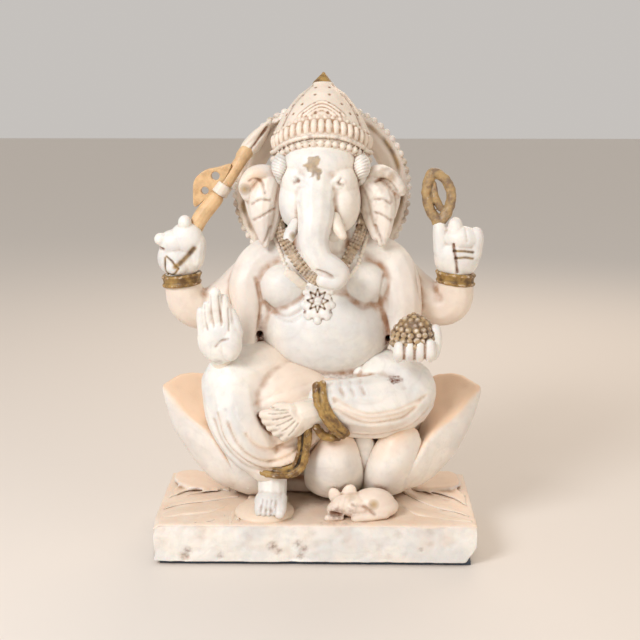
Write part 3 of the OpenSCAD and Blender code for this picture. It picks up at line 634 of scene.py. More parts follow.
body = carve("body", [
    lump(0, 12, 14, 104, 60, 44),
    lump(3, 9, 50, 85, 62, 68),
    lump(2, 14, 84, 88, 50, 50),
    lump(0, 22, 40, 88, 46, 84),
    lump(-38, 10, 66, 22, 32, 62),
    lump(38, 10, 66, 22, 32, 62),
    lump(-22, 15, 112, 24, 28, 30),
    lump(22, 15, 112, 24, 28, 30),
    lump(-23, -1, 79, 32, 28, 30),
    lump(27, -1, 81, 30, 28, 28),
    roll([(0, 17, 100, 24), (0, 15, 120, 20)]),
    # the figure's right shoulder and front arm
    roll([(-20, 15, 98, 15), (-38, 11, 92, 14), (-46, 5, 80, 12.5), (-46, 1, 68, 10.5), (-45, -3, 52, 7),
          (-46, -5, 40, 5.5)]),
    roll([(-46, -5, 40, 5.5), (-53, -16, 36, 6), (-60, -26, 36, 6.5)]),
    # the figure's left shoulder and front arm
    roll([(20, 15, 98, 15), (40, 12, 94, 14), (48, 7, 84, 13.5), (50.5, 3, 70, 13.2), (51, 1, 58, 12.5),
          (53, -4, 48, 11)]),
    roll([(53, -4, 48, 11), (56, -18, 46, 9), (57, -28, 46, 8)]),
    # rear arms, down from behind the shoulders and up to the wrists
    roll([(-30, 20, 96, 13), (-46, 20, 82, 13), (-62, 21, 67, 13), (-76, 20, 60, 13.2), (-86, 17, 66, 13),
          (-89, 15, 80, 11.5)]),
    roll([(32, 20, 98, 13), (48, 20, 84, 13), (62, 21, 71, 13), (75, 20, 63, 13.2), (84, 17, 67, 12.8),
          (85.5, 14, 80, 11.5)])], 1.0, 7,
    # holes drilled beside the belly and over the shoulders, where the block was roughed out
    [lump(-38.5, -7, 48.8, 4.4, 60, 4.4), lump(42.3, -7, 46.5, 4.4, 60, 4.4),
     lump(-22, -5, 117.4, 4.8, 60, 4.8), lump(23.7, -9, 116.2, 5.2, 50, 5.2)])
# Armpits, the folds under the breasts, and the crease over the lap, with painted shade laid along each
for path, depth, width in [
        ([(-41, 85), (-38.5, 77), (-37.5, 68), (-39, 56), (-40, 46)], 0.9, 1.0),
        ([(39, 87), (37, 75), (38, 66), (42, 54), (43, 44)], 0.9, 1.0),
        ([(-35, 70), (-29, 64.5), (-21.5, 62.5), (-13, 67), (-9, 71)], 0.9, 1.1),
        ([(-33, 66), (-26, 60.5), (-19, 59.5), (-11, 64)], 0.6, 0.9),
        ([(20, 72), (27, 67), (35, 75)], 0.5, 1.6),
        ([(59.5, 92), (60.5, 80), (63, 70)], 0.8, 0.9)]:
    score(body, path, depth, width, grime=0.12)
points, normals = surface(body)
# Painted shade inside the two drilled holes, down the gaps beside the belly, and along the crease under the
# belly over the lap
spots(body, "grime", (-38.5, -2, 45, 7, 0.8), (42.3, -2, 43, 6, 0.6))
stain(body, "grime", 0.7 * np.exp(-np.abs(np.abs(points[:, 0] - 1.8) - 39.5) / 1.2) * (points[:, 1] < 4)
      * (points[:, 2] < 62) * (points[:, 2] > 38))
stain(body, "grime", 0.5 * np.exp(-((points[:, 2] - 24) / 3) ** 2) * (points[:, 1] < 8)
      * (np.abs(points[:, 0]) < 38))
# Peach towards the sides: partly a real stain, partly a painted reflection of the warm surroundings
sides = np.clip(np.abs(points[:, 0] - 2) / 44 - 0.45, 0, 1)
stain(body, "warm", 0.4 * sides * np.clip(1 - normals[:, 2] * 0.5, 0, 1)
      * np.clip(1.2 + ripple(points, 30, 1), 0, 1))
weather(body, 10, 0.4)
finish(body, marble, "marble", "torso", "front_right_upper_arm", "front_left_upper_arm",
       "front_right_forearm", "front_left_forearm", "rear_right_upper_arm", "rear_left_upper_arm",
       "rear_right_forearm", "rear_left_forearm")

# ---------------------------------------------------------------- legs in the draped cloth
# The lowered right leg and the folded left leg, under a cloth that clings and
# gathers in long folds. They are carved in one with the seat.

right_leg = carve("right_leg", [
    roll([(-24, 8, 20, 22), (-40, -6, 23, 21.5), (-54, -19, 20, 20.5)]),
    roll([(-54, -20, 18, 20), (-51, -24, 2, 20), (-42, -26, -16, 18), (-34, -26, -28, 13)]),
    roll([(-42, -26, -23, 9), (-28, -29, -25, 9), (-18, -27, -23, 8.5)]),
    lump(-28, -6, 2, 88, 63, 66),
    lump(-14, -8, 2, 50, 52, 54)], 0.9, 10)
score(right_leg, [(-64.6, 2.7), (-58.8, -13.2), (-44.9, -26.6), (-29.2, -31)], 0.9, 1.6)
# Peach along each fold line: partly a stain, partly a painted reflection in the crease
for path, height, width in [
        ([(-61.5, 8), (-57, -8), (-46, -20.5), (-31, -27.5), (-13, -24), (-5, -16)], 1.5, 4.5),
        ([(-55.1, 2.7), (-49.2, -10.6), (-39.0, -20), (-27.4, -22.5), (-14, -17), (-6, -8)], 1.0, 3.5),
        ([(-45, -4), (-38, -12), (-28, -15), (-17, -10)], 0.7, 3.5)]:
    fold(right_leg, path, height, width, warm=0.3)
score(right_leg, [(-52, 12), (-50, 4), (-44, -4)], 0.6, 1.2)
for path in ([(-40, 12), (-24, 19), (-6, 23)], [(-34, 8), (-20, 13), (-4, 18)]):
    score(right_leg, path, 0.35, 1.8)
score(right_leg, [(-37, 5.5), (-34, -0.5), (-29.5, -6)], 1.8, 1.0, grime=0.9)
points, normals = surface(right_leg)
spots(right_leg, "grime", (-18, -40, -27, 5, 0.9), (-27, -41, -29, 4, 0.6), (-57, -40, 10, 2.5, 0.8),
      (-53, -42, 2, 2, 0.6))
stain(right_leg, "warm", 0.5 * np.clip((points[:, 0] + 52) / 30, 0, 1))
weather(right_leg)
finish(right_leg, marble, "marble", "right_thigh", "right_shin")

left_leg = carve("left_leg", [
    roll([(26, 8, 18, 21), (40, 0, 18, 21), (52, -8, 14, 21)]),
    roll([(52, -10, 10, 20), (34, -20, 8, 19), (18, -24, 9, 17), (6, -27, 11, 14.5)]),
    roll([(20, -22, -2, 11), (36, -20, -3, 11), (52, -12, 0, 12)]),
    lump(34, -12, 6, 70, 44, 40)], 1.0, 6)
# Peach along these folds and grooves: partly a stain, partly a painted reflection in the creases
for drop, height in ((0, 0.7), (3.2, 0.5), (6.4, 0.8)):
    score(left_leg, [(65 - drop, 14.4 - drop), (50.8, 9.2 - drop), (41.6, 7.9 - drop), (30.0, 7.2 - drop),
                     (21.4, 9.7 - drop), (9, 17 - drop)], height, 1.1, warm=0.3)
fold(left_leg, [(66, 6), (56, -3), (44, -6.5), (32, -8), (20, -7)], -1.0, 2.6, warm=0.2)
score(left_leg, [(52, 20), (38, 15), (24, 14), (12, 22)], 0.35, 2.0)
for x, z in [(8, 26), (14, 28), (20, 29), (26, 30)]:
    score(left_leg, [(x, z + 2), (x - 1.5, z - 5), (x + 1, z - 11)], 0.7, 1.2)
points, normals = surface(left_leg)
spot = np.hypot((points[:, 0] - 46) / 4.6, (points[:, 2] - 25) / 2.2) + ripple(points, 1.6, 0.5)
stain(left_leg, "grime", np.clip((1 - spot) * 4, 0, 1) * (points[:, 1] < 0))
# Peach on the downward faces: partly a stain, partly a painted reflection of light bounced up from below
stain(left_leg, "warm", 0.3 * np.clip(-normals[:, 2] + 0.2, 0, 1))
weather(left_leg)
finish(left_leg, marble, "marble", "left_thigh", "left_shin")

# ---------------------------------------------------------------- waist folds
# The cloth's edge gathered under the belly, a few flat rolls across the lap.

folds = carve("waist_folds", [
    roll([(-30, -10, 22, 6), (-14, -18, 16, 8), (4, -21, 14, 8), (20, -16, 17, 7)]),
    lump(2, -10, 11, 56, 40, 26)], 0.9, 6)
stain(folds, "warm", 0.5)
weather(folds)
finish(folds, marble, "marble", "waist_folds")

# ---------------------------------------------------------------- feet
# The lowered foot stands flat on its plinth. The folded one lies across the
# other leg with its sole half shown, its toes fanned out.

toes = [roll([(x, -34, -49, 3.0), (x - 0.4, -41, -53, 2.9), (x - 0.6, -44 + abs(x + 33) * 0.3, -55, 2.2)])
        for x in (-37.2, -34.1, -31.0, -28.2)]
right_foot = carve("right_foot", toes + [
    roll([(-30, -24, -28, 9.2), (-30, -26, -40, 9.2), (-30, -29, -48, 9)]),
    lump(-31, -33, -51, 20, 24, 15),
    roll([(-25, -32, -49, 4.6), (-24.8, -42, -53, 4.2), (-24.9, -45, -54.5, 3.4)])], 0.55, 3)
for x in (-35.8, -32.7, -29.8, -27.1):
    score(right_foot, [(x + 0.5, -47), (x - 0.2, -51), (x - 0.4, -56)], 0.5, 0.6, grime=0.25)
weather(right_foot, 6)
finish(right_foot, marble, "marble", "right_foot")

toe_ends = [(-34, 7.0), (-32.4, 3.2), (-29.8, -0.6), (-26.2, -4.2), (-21.8, -7.0)]
left_foot = carve("left_foot", [
    roll([(x, -40.5, z, 3.2), (x * 0.7 - 2.5, -42, z * 0.7 + 2.6, 4.4), (x * 0.4 - 5, -39, z * 0.4 + 5.2, 6)])
    for x, z in toe_ends] + [
    lump(-20, -38, 3, 26, 13, 20, (0, 35, 0)),
    lump(-12, -37, 5, 24, 14, 19, (0, -20, 0)),
    roll([(-10, -36, 6, 8.5), (0, -32, 8, 9)])], 0.6, 4)
for x, z in [(-31, 8.6), (-28.6, 4.8), (-26, 1.2), (-22.6, -2.2), (-18.6, -4.6), (-30, 11.5)]:
    score(left_foot, [(x, z), (x * 0.75 - 1.5, z * 0.75 + 2.6), (x * 0.5 - 3.5, z * 0.5 + 5.2)],
          0.6, 0.5, grime=0.45)
points, normals = surface(left_foot)
# Painted shade on the downward faces, towards the toes
stain(left_foot, "grime", 0.9 * np.clip(-normals[:, 2] - 0.2, 0, 1)
      * np.clip((-points[:, 0] - 14) / 10, 0, 1))
weather(left_foot, 6)
finish(left_foot, waxed, "marble", "left_foot")

# ---------------------------------------------------------------- cloth hems
# The cloth's borders stand proud as ridged bands, painted gold and rubbed brown.

hem_rolls = {
    "right": [
        [(-43, -31, -27.5, 1.8), (-36.8, -35, -30.8, 2.6), (-26.8, -37, -32.2, 2.8), (-17, -36.5, -31.6, 2.8),
         (-11, -36, -27.1, 2.7), (-9.0, -35.5, -17.3, 2.8), (-7.6, -36, -8.4, 3), (-8, -37, 0.5, 2.9),
         (-9.6, -37, 8, 2.2)],
        [(-40, -32, -25.5, 1.4), (-27, -36, -28.5, 1.6), (-18, -36, -27.5, 1.6), (-14, -36, -22, 1.6),
         (-12.2, -36, -12, 1.6), (-12.0, -37, -2, 1.5)]],
    "left": [
        [(-2.2, -36, 24, 2.6), (-1.6, -41, 17, 2.8), (2.4, -43.5, 8, 3), (8, -43, 0, 3),
         (13.4, -38, -6.5, 2.8)],
        [(1.4, -35, 25, 2.2), (2.2, -40.5, 17, 2.5), (6, -42.5, 8, 2.6), (11.6, -42, 0, 2.6),
         (16.4, -37, -5.5, 2.4)],
        [(-4, -37, 3, 1.8), (-2, -38, -2, 2.6), (3, -38, -7.4, 2.8), (11, -35, -9.6, 2)]],
}
hem_grooves = {
    "right": (0.3, [
        [(-36, -30), (-26, -31.6), (-16.5, -30.4), (-11.6, -25), (-9.6, -14), (-9, -4), (-10, 5)],
        [(-38, -27.8), (-26.5, -30), (-17.5, -29.2), (-12.8, -23.5), (-11, -12), (-10.6, -1)]]),
    "left": (0.35, [[(-0.6, 23), (0.4, 16), (4.2, 7.5), (9.8, -0.5), (14.8, -6)]]),
}
for name, paths in hem_rolls.items():
    hem = carve(name + "_hem", [roll(path) for path in paths], 0.5, 2)
    dirt, grooves = hem_grooves[name]
    for groove in grooves:
        score(hem, groove, 0.5, 0.6, grime=dirt)
    points, normals = surface(hem)
    reshape(hem, points + normals * ripple(points, 3, 0.45)[:, None])
    stain(hem, "gilt", 0.3)
    stain(hem, "grime", np.clip(0.1 + ripple(points, 2.5, 0.7), 0, 0.6))
    weather(hem, 6, 0.25)
    finish(hem, gilded, "gilded_marble", name + "_hem")

# ---------------------------------------------------------------- raised front hand
# The figure's right hand, held up open on the knee: four short fingers, close
# together, and a broad soft palm with one deep crease.

raised_hand = carve("raised_hand", [
    lump(-60.8, -33, 53, 27.5, 15, 32),
    lump(-61.4, -32.5, 66, 20, 8.5, 24),
    lump(-54.5, -35, 50, 15, 13, 22),
    roll([(-60, -20, 34, 6.5), (-61.4, -26, 40, 7.4), (-61.4, -31, 47, 9)]),
    roll([(-70.4, -34, 56, 3.6), (-71.6, -35, 65, 3.1), (-72, -35, 70, 2.4)]),
    roll([(-66.6, -34, 58, 3.8), (-68, -36, 68, 3.3), (-68, -36, 73.6, 2.6)]),
    roll([(-61.5, -34, 60, 4.1), (-62.6, -36.5, 72, 3.9), (-62.8, -37, 81, 3.7)]),
    roll([(-55.8, -34, 58, 4.4), (-57, -35, 68, 4), (-58, -34, 77, 3.2)]),
    roll([(-51, -33, 56, 4.6), (-51.6, -33, 63, 3.6), (-53.5, -33, 69, 2.6)])], 0.55, 4)
for path in ([(-69.2, 74), (-68.6, 66), (-67.5, 59)], [(-65.6, 80), (-65, 70), (-63.5, 61)],
             [(-60.2, 80), (-59.6, 70), (-59, 62)], [(-54.8, 72), (-54.4, 64), (-54.6, 59)]):
    score(raised_hand, path, 0.7, 0.6, grime=0.15)
score(raised_hand, [(-62.5, 49), (-59.5, 52.5), (-55, 54)], 0.7, 0.7, grime=0.3)
spots(raised_hand, "grime", (-62, -36, 39, 3.5, 0.5))
weather(raised_hand, 6)
finish(raised_hand, marble, "marble", "front_right_hand")

# ---------------------------------------------------------------- hand with sweets
# The figure's left hand lies on the other knee and holds a heap of small round
# sweets, painted gold, with four short fingers folded up in front of them.

sweet_hand = carve("sweet_hand", [
    lump(57, -30, 48, 29, 20, 18),
    roll([(57, -20, 48, 9), (57, -28, 46, 9)]),
    roll([(68, -34, 44, 4.5), (69.5, -33, 52, 4.5), (69.6, -32, 58, 3.6)])] + [
    roll([(x, -38, 42.5, 3.2), (x, -40.5, 46, 3.6), (x, -40.5, 49.5 + (x - 46) * 0.08, 3.2)])
    for x in (47.4, 53.6, 59.8, 66)], 0.55, 3)
for x in (50.5, 56.7, 62.9):
    score(sweet_hand, [(x, 54), (x, 48), (x, 41)], 0.7, 0.7, grime=0.15)
weather(sweet_hand, 6)
finish(sweet_hand, marble, "marble", "front_left_hand")

sweet_balls = [lump(56.6, -31, 53, 25.5, 21, 28)]
chance = np.random.default_rng(11)
for ring, (count, spread, level) in enumerate([
        (20, 12.9, 50.2), (19, 12.7, 53.2), (18, 11.9, 56.2), (15, 10.4, 59.1), (12, 8.3, 61.8),
        (8, 5.7, 64.2), (4, 2.6, 66.2)]):
    for i in range(count):
        turn = 2 * math.pi * (i + 0.5 * (ring % 2) + chance.uniform(-0.15, 0.15)) / count
        grain_size = chance.uniform(3.5, 4.3)
        sweet_balls.append(lump(56.6 + spread * math.cos(turn), -31 + 0.84 * spread * math.sin(turn),
                                level + chance.uniform(-0.5, 0.5), grain_size, grain_size, grain_size))
sweets = carve("heap_of_sweets", sweet_balls, 0.4, 1)
points, normals = surface(sweets)
swell = np.sqrt(((points[:, 0] - 56.6) / 12.75) ** 2 + ((points[:, 1] + 31) / 10.5) ** 2
                + ((points[:, 2] - 53) / 14) ** 2)
stain(sweets, "gilt", 0.8)
# Brown in the gaps between the sweets, partly dust and partly painted shade
stain(sweets, "grime", np.clip((1.1 - swell) * 7, 0, 0.75))
weather(sweets, 5, 0.1)
finish(sweets, waxed, "gilded_marble", "sweets")

# ---------------------------------------------------------------- rear hands
# Two closed hands at head height, each gripping what it carries. The fingers
# are only roughed out, with gold left in the grooves.

rear_right_hand = carve("rear_right_hand", [
    roll([(-89, 14, 82, 9), (-89.5, 12, 92, 10.5)]),
    lump(-89.5, 11, 95, 29, 20, 26),
    lump(-92, 9, 105, 22, 16, 17),
    lump(-85, 9, 107, 22, 17, 22),
    lump(-101, 7, 107.5, 8, 9, 8),
    roll([(-98.5, 9, 97, 5), (-98.5, 8, 102, 3.6)]),
    lump(-85.5, 7, 118, 8.6, 9, 9.5),
    roll([(-80, 9, 94, 6), (-78.5, 9, 104, 6), (-79, 9, 111, 4)]),
    lump(-91, 3.5, 90, 14, 10, 9)], 0.55, 4)
for path, width in (([(-91, 91), (-86, 95), (-79.5, 102)], 1.5), ([(-97, 97), (-93, 94), (-90, 91)], 0.6),
                    ([(-98, 96), (-98, 89), (-96, 84)], 0.6), ([(-96, 85), (-92, 86), (-89, 90)], 0.6)):
    score(rear_right_hand, path, 0.7, width, gilt=0.9, grime=0.3)
score(rear_right_hand, [(-103, 102.5), (-99, 101.5)], 1.2, 0.8, grime=0.8)
weather(rear_right_hand, 6)
finish(rear_right_hand, marble, "marble", "rear_right_hand")

rear_left_hand = carve("rear_left_hand", [
    roll([(85.5, 14, 82, 9), (85, 12, 92, 10.5)]),
    lump(85.5, 11, 96, 29, 20, 28),
    lump(88, 9, 108, 24, 16, 16),
    roll([(76, 10, 100, 5.5), (75, 11, 110, 5), (74, 12, 117, 4)]),
    roll([(84, 9, 108, 6), (84, 9, 117, 4.5)]),
    roll([(96, 9, 98, 5), (97, 8, 108, 5), (97, 8, 111, 4.5)])], 0.55, 3)
score(rear_left_hand, [(82.5, 105), (84, 97), (85.5, 87)], 1.6, 0.8, grime=0.8)
for path, depth in (([(83, 101), (89, 101), (95, 100)], 0.7), ([(84, 96.5), (90, 97), (95, 96)], 0.6)):
    score(rear_left_hand, path, depth, 0.7, gilt=0.9)
score(rear_left_hand, [(90, 115), (91, 107)], 0.7, 0.8)
weather(rear_left_hand, 6)
finish(rear_left_hand, marble, "marble", "rear_left_hand")

# ---------------------------------------------------------------- bangles
# A heavy ring round each rear wrist, with a rounded rim, painted gold-brown.


def ring_round(x, y, z, radius, section, steps=64):
    """Spins a section of (out, up) points round a vertical axis, as on a lathe."""
    mesh = bpy.data.meshes.new("ring")
    mesh.from_pydata([at(x + radius + out, y, z + up) for out, up in section], [],
                     [list(range(len(section)))])
    piece = bpy.data.objects.new("ring", mesh)
    bpy.context.collection.objects.link(piece)
    take(piece)
    bpy.ops.object.mode_set(mode="EDIT")
    bpy.ops.mesh.select_all(action="SELECT")
    bpy.ops.mesh.spin(steps=steps, dupli=False, angle=2 * math.pi, center=at(x, y, z), axis=(0, 0, 1))
    bpy.ops.mesh.select_all(action="SELECT")
    bpy.ops.mesh.remove_doubles(threshold=0.02 * MM)
    bpy.ops.mesh.normals_make_consistent(inside=False)
    bpy.ops.object.mode_set(mode="OBJECT")
    return piece


BANGLE_SECTION = [(-5, -3.4), (-1, -4), (1.2, -3.6), (2.2, -2.2), (1.0, -1.0), (1.4, 1.4), (2.4, 3.0),
                  (1.4, 4.2), (-1, 4.0), (-5, 3)]
for side, name, x, z in ((-1, "right", -89, 80.6), (1, "left", 85.3, 82)):
    bangle = carve("rear_" + name + "_bangle", [ring_round(x, 14, z, 10.6, BANGLE_SECTION)], 0.5, 2)
    points, normals = surface(bangle)
    tilt = (points[:, 0] - x) * 0.1 * -side
    reshape(bangle, points + tilt[:, None] * [0, 0, 1] + normals * ripple(points, 4, 0.3)[:, None])
    stain(bangle, "gilt", 0.4)
    weather(bangle, 6, 0.25)
    finish(bangle, gilded, "gilded_marble", "rear_" + name + "_bangle")

# ---------------------------------------------------------------- axe
# A short axe in the rear right hand: two lengths of round shaft, a pale collar
# between them, and a fan-shaped blade with two holes, washed with amber paint.

axe_shaft = carve("axe_shaft", [
    roll([(-80, 12, 112, 4.6), (-76, 13, 120.5, 5.2), (-66.8, 14, 132.2, 5.2)]),
    roll([(-60.5, 16, 141, 4.2), (-48, 19, 160, 4.0)]),
    roll([(-49.5, 19, 158.5, 4.6), (-47.5, 19.5, 161, 4.8)])], 0.5, 2)
spots(axe_shaft, "grime", (-62, 10, 134, 3, 0.8), (-73, 8, 112, 4, 0.6))
weather(axe_shaft, 6, 0.3)
finish(axe_shaft, amber, "amber_marble", "axe_shaft")
axe_socket = carve("axe_socket", [
    roll([(-66.5, 14, 132.3, 5.6), (-58.3, 16, 144.2, 5.3)])], 0.5, 2,
    [block(-69.0, 14, 128.6, 30, 30, 16, (0, 34.5, 0)), block(-55.8, 17, 147.9, 30, 30, 16, (0, 34.5, 0))])
points, normals = surface(axe_socket)
stain(axe_socket, "grime", np.clip(near(points, -61, 9, 132, 4) + near(points, -56, 11, 139, 3), 0, 0.9))
weather(axe_socket, 6, 0.3)
finish(axe_socket, waxed, "marble", "axe_socket")

blade_outline = smooth_path([(-66, 137), (-74, 131), (-80, 127), (-80.8, 136), (-79.6, 144.3), (-73, 150.1),
                             (-65, 152), (-56.5, 154), (-59, 147), (-62, 142)], 4)
mesh = bpy.data.meshes.new("blade")
mesh.from_pydata([at(x, 12.5, z) for x, z in blade_outline], [], [list(range(len(blade_outline)))])
blade = bpy.data.objects.new("blade", mesh)
bpy.context.collection.objects.link(blade)
take(blade)
bpy.ops.object.mode_set(mode="EDIT")
bpy.ops.mesh.select_all(action="SELECT")
bpy.ops.mesh.extrude_region_move(TRANSFORM_OT_translate={"value": (0, 5 * MM, 0)})
bpy.ops.mesh.select_all(action="SELECT")
bpy.ops.mesh.normals_make_consistent(inside=False)
bpy.ops.object.mode_set(mode="OBJECT")
axe_blade = carve("axe_blade", [blade], 0.5, 3,
                  [lump(-66.4, 15, 146.6, 5.4, 40, 5.4),
                   lump(-73.2, 15, 137.4, 4.8, 40, 4.8)])
points, normals = surface(axe_blade)
stain(axe_blade, "grime", np.clip(0.15 + ripple(points, 5, 0.5), 0, 0.5))
weather(axe_blade, 6, 0.3)
finish(axe_blade, amber, "amber_marble", "axe_blade")

# ---------------------------------------------------------------- noose
# A closed loop of thick cord in the rear left hand, its inner leaf left in to
# keep the stone from snapping, painted gold and gone dull.

noose = carve("noose", [
    roll([(73, 12, 119, 3.6), (68, 12, 126, 3.2), (65.6, 12, 137, 3.0), (68, 12, 146.5, 3.6),
          (70.5, 12, 148.5, 3.4), (76, 12, 146, 3.2), (80.5, 12, 139, 3.2), (81, 12, 130, 3.2),
          (77, 12, 121, 3.6), (73, 12, 118, 3.6)]),
    roll([(70.4, 12, 142, 1.6), (71.4, 12, 134, 2.6), (74.6, 12, 127, 2.2)])], 0.5, 2)
points, normals = surface(noose)
reshape(noose, points + normals * ripple(points, 3, 0.5)[:, None])
weather(noose, 6, 0.3)
finish(noose, gilded, "gilded_marble", "noose")

# ---------------------------------------------------------------- necklace and pendant
# A broad beaded collar in two bands, gold inside and pale outside, that meets
# in a scalloped plate with an eight-pointed star.

body_points, body_normals = surface(body)
chest = body_points[(body_normals[:, 1] < -0.1) & (body_points[:, 2] > 50) & (abs(body_points[:, 0]) < 36)]


def on_body(x, z):
    """The depth of the body's front face at a place seen from the front."""
    gap = np.hypot(chest[:, 0] - x, chest[:, 2] - z)
    return chest[np.argpartition(gap, 6)[:6], 1].mean()


inner_band = smooth_path([(-27, 122), (-24.5, 111), (-18, 100), (-9, 90), (-1, 84.5), (7, 86), (15, 95),
                          (22, 107), (25.5, 116), (27, 122)], 5)
outer_edge = smooth_path([(-29.5, 112), (-26.5, 103), (-21, 91.5), (-14, 84.5)], 5)
outer_edge_left = smooth_path([(29, 113), (26.5, 103), (22, 92), (17, 86)], 5)
band_parts = []
for x, z in inner_band:
    band_parts.append(lump(x, on_body(x, z) + 0.5, z, 7.4, 4.6, 5.6))
for path, reach in ((inner_band, -2.7), (inner_band, -0.9), (inner_band, 0.9), (inner_band, 2.7)):
    ways = np.gradient(path, axis=0)
    ways /= np.linalg.norm(ways, axis=1)[:, None]
    for (x, z), (run, rise) in zip(path, ways):
        bx = x + rise * reach
        bz = z - run * reach
        band_parts.append(lump(bx, on_body(bx, bz) - 1.7, bz, 2.1, 2.2, 2.4))
collar = carve("gold_collar", band_parts, 0.4, 1)
points, normals = surface(collar)
stain(collar, "gilt", 0.55)
stain(collar, "grime", np.clip(0.15 + ripple(points, 2.2, 0.9), 0, 0.7))
weather(collar, 5, 0.16)
finish(collar, waxed, "gilded_marble", "necklace")

edge_parts = []
for path in (outer_edge, outer_edge_left):
    for x, z in path:
        edge_parts.append(lump(x, on_body(x, z) + 0.4, z, 3.2, 3.2, 3.2))
for x, z in smooth_path([(-19, 88), (-12, 81.5), (-6, 79)], 5):
    edge_parts.append(lump(x, on_body(x, z) + 0.6, z, 9, 4, 6))
lace = carve("collar_edge", edge_parts, 0.5, 1)
weather(lace, 6, 0.2)
finish(lace, waxed, "gilded_marble")

plate_parts = [lump(x, on_body(x, z) + 0.8, z, 10, 6, 8) for x in (-6, -2, 2.5)
               for z in (64.5, 68.5, 72.5, 76.5, 80)]
for i in range(9):
    turn = 2 * math.pi * i / 9 - math.pi / 2
    x = -1.8 + 8.6 * math.cos(turn)
    z = 71.5 + 10.8 * math.sin(turn)
    plate_parts.append(lump(x, on_body(x, z) + 0.6, z, 5.6, 5, 5.6))
plate = carve("pendant_plate", plate_parts, 0.45, 2)
for i in range(8):
    turn = 2 * math.pi * i / 8
    half = math.pi / 8
    tip = (-1.8 + 6.4 * math.cos(turn), 72.8 + 6.4 * math.sin(turn))
    for swing in (-half, half):
        root = (-1.8 + 3.6 * math.cos(turn + swing), 72.8 + 3.6 * math.sin(turn + swing))
        score(plate, [tip, root], 0.6, 0.42, gilt=0.5, grime=0.4)
points, normals = surface(plate)
ring_gap = np.abs(np.hypot(points[:, 0] + 1.8, points[:, 2] - 72.8) - 2.6)
ring_mark = np.exp(-(ring_gap / 0.6) ** 2) * (normals[:, 1] < 0)
reshape(plate, points - normals * (0.7 * ring_mark)[:, None])
stain(plate, "grime", 0.5 * ring_mark)
for i in range(9):
    turn = 2 * math.pi * (i + 0.5) / 9 - math.pi / 2
    spot = np.hypot(points[:, 0] + 1.8 - 9.4 * math.cos(turn), points[:, 2] - 72 - 11 * math.sin(turn))
    stain(plate, "grime", 0.8 * np.clip(1.6 - spot / 1.1, 0, 1))
weather(plate, 5, 0.25)
finish(plate, marble, "gilded_marble", "pendant")

# ---------------------------------------------------------------- head and trunk
# The elephant's head, carved in one with its trunk, which hangs over the chest
# and curls up at its end. The brow keeps a patch of old gold paint.

head = carve("head", [
    lump(-0.8, 6, 144, 51, 50, 52),
    lump(-0.8, -2, 156, 46, 42, 31),
    lump(-1.5, -7, 146, 33, 32, 34),
    lump(-12, -8, 145, 24, 28, 28),
    lump(10.5, -8, 145, 24, 28, 28),
    lump(-14, -5, 133, 24, 34, 38),
    lump(13, -5, 133, 23, 34, 38),
    lump(-0.8, 0, 124, 34, 36, 26),
    roll([(-1.5, -7, 156, 14), (-2.4, -11, 147, 14), (-2.8, -16, 138, 13), (-2.8, -21, 130, 12),
          (-2.8, -25, 123, 11.2), (-4, -28, 115, 9.8), (-3, -30, 107, 8.6), (0.5, -31.5, 100, 8),
          (7, -32, 96, 7.4), (11.5, -32, 92, 6.6), (9, -33, 87.6, 5.2), (2, -33, 88.2, 4.6)]),
    lump(8, -14, 116, 14, 18, 14)], 0.75, 5,
    [lump(-22, -12, 117.4, 4.4, 60, 4.4), lump(23.7, -12, 116.2, 4.8, 60, 4.8)])
# Eyes: a deep slit under a heavy lid, with a fine wrinkle over and under it
for side, x, z in ((-1, -13.2, 147), (1, 10.8, 145.6)):
    score(head, [(x - 1.6 * side * -1, z + 2.5), (x, z), (x + 2.6 * side, z - 1.4)], 1.3, 0.9, grime=0.5)
    score(head, [(x - 3, z + 4), (x, z + 4.6), (x + 3, z + 3.6)], 0.35, 0.7)
    score(head, [(x - 3, z - 3.4), (x, z - 4.2), (x + 3, z - 3.4)], 0.4, 0.8)
    score(head, [(x - 3.4, z + 0.6), (x, z + 2.2), (x + 3.4, z + 0.8)], -0.7, 1.2)
score(head, [(-13.2, 134), (-14, 128), (-14.8, 121)], 0.6, 1.5)
score(head, [(8.2, 136), (9, 130), (9.6, 124)], 0.7, 1.5)
score(head, [(-1.5, 95), (3, 93.6), (7.2, 91.4)], 1.4, 0.9, grime=0.25)
points, normals = surface(head)
rise = points[:, 2] - 156
brow = np.hypot((points[:, 0] + 4 + 0.3 * rise) / 5, rise / 7) + ripple(points, 3.5, 0.8)
stain(head, "gilt", 0.75 * np.clip((1 - brow) * 4, 0, 1) * (points[:, 1] < 0))
# Peach on the figure's left side of the head, growing outward: partly a stain, partly a painted reflection of
# warm light from that side
stain(head, "warm", 0.35 * np.clip(np.abs(points[:, 0] - 5) / 30, 0, 1) * (points[:, 0] > 0))
weather(head, 10, 0.5)
finish(head, marble, "marble", "head", "trunk")

# Short combed hair shows at the temples under the crown
for side, name, x in ((-1, "right", -24.5), (1, "left", 24.5)):
    hair = carve(name + "_temple_hair", [lump(x, -4, 154, 12, 24, 16), lump(x, 6, 151, 11, 26, 20)], 0.5, 3)
    for i in range(8):
        z = 160.5 - 2 * i
        strand = [(6, 1.5), (2, 0.8), (-2, -1), (-5, -3.4)]
        score(hair, [(x + out * side, z + up) for out, up in strand], 0.6, 0.5, grime=0.1)
    weather(hair, 5, 0.2)
    finish(hair, marble, "marble")

# ---------------------------------------------------------------- tusks
# The figure's left tusk is whole and blunt. The right one ends in a broken
# stump, with gold left along its edge.

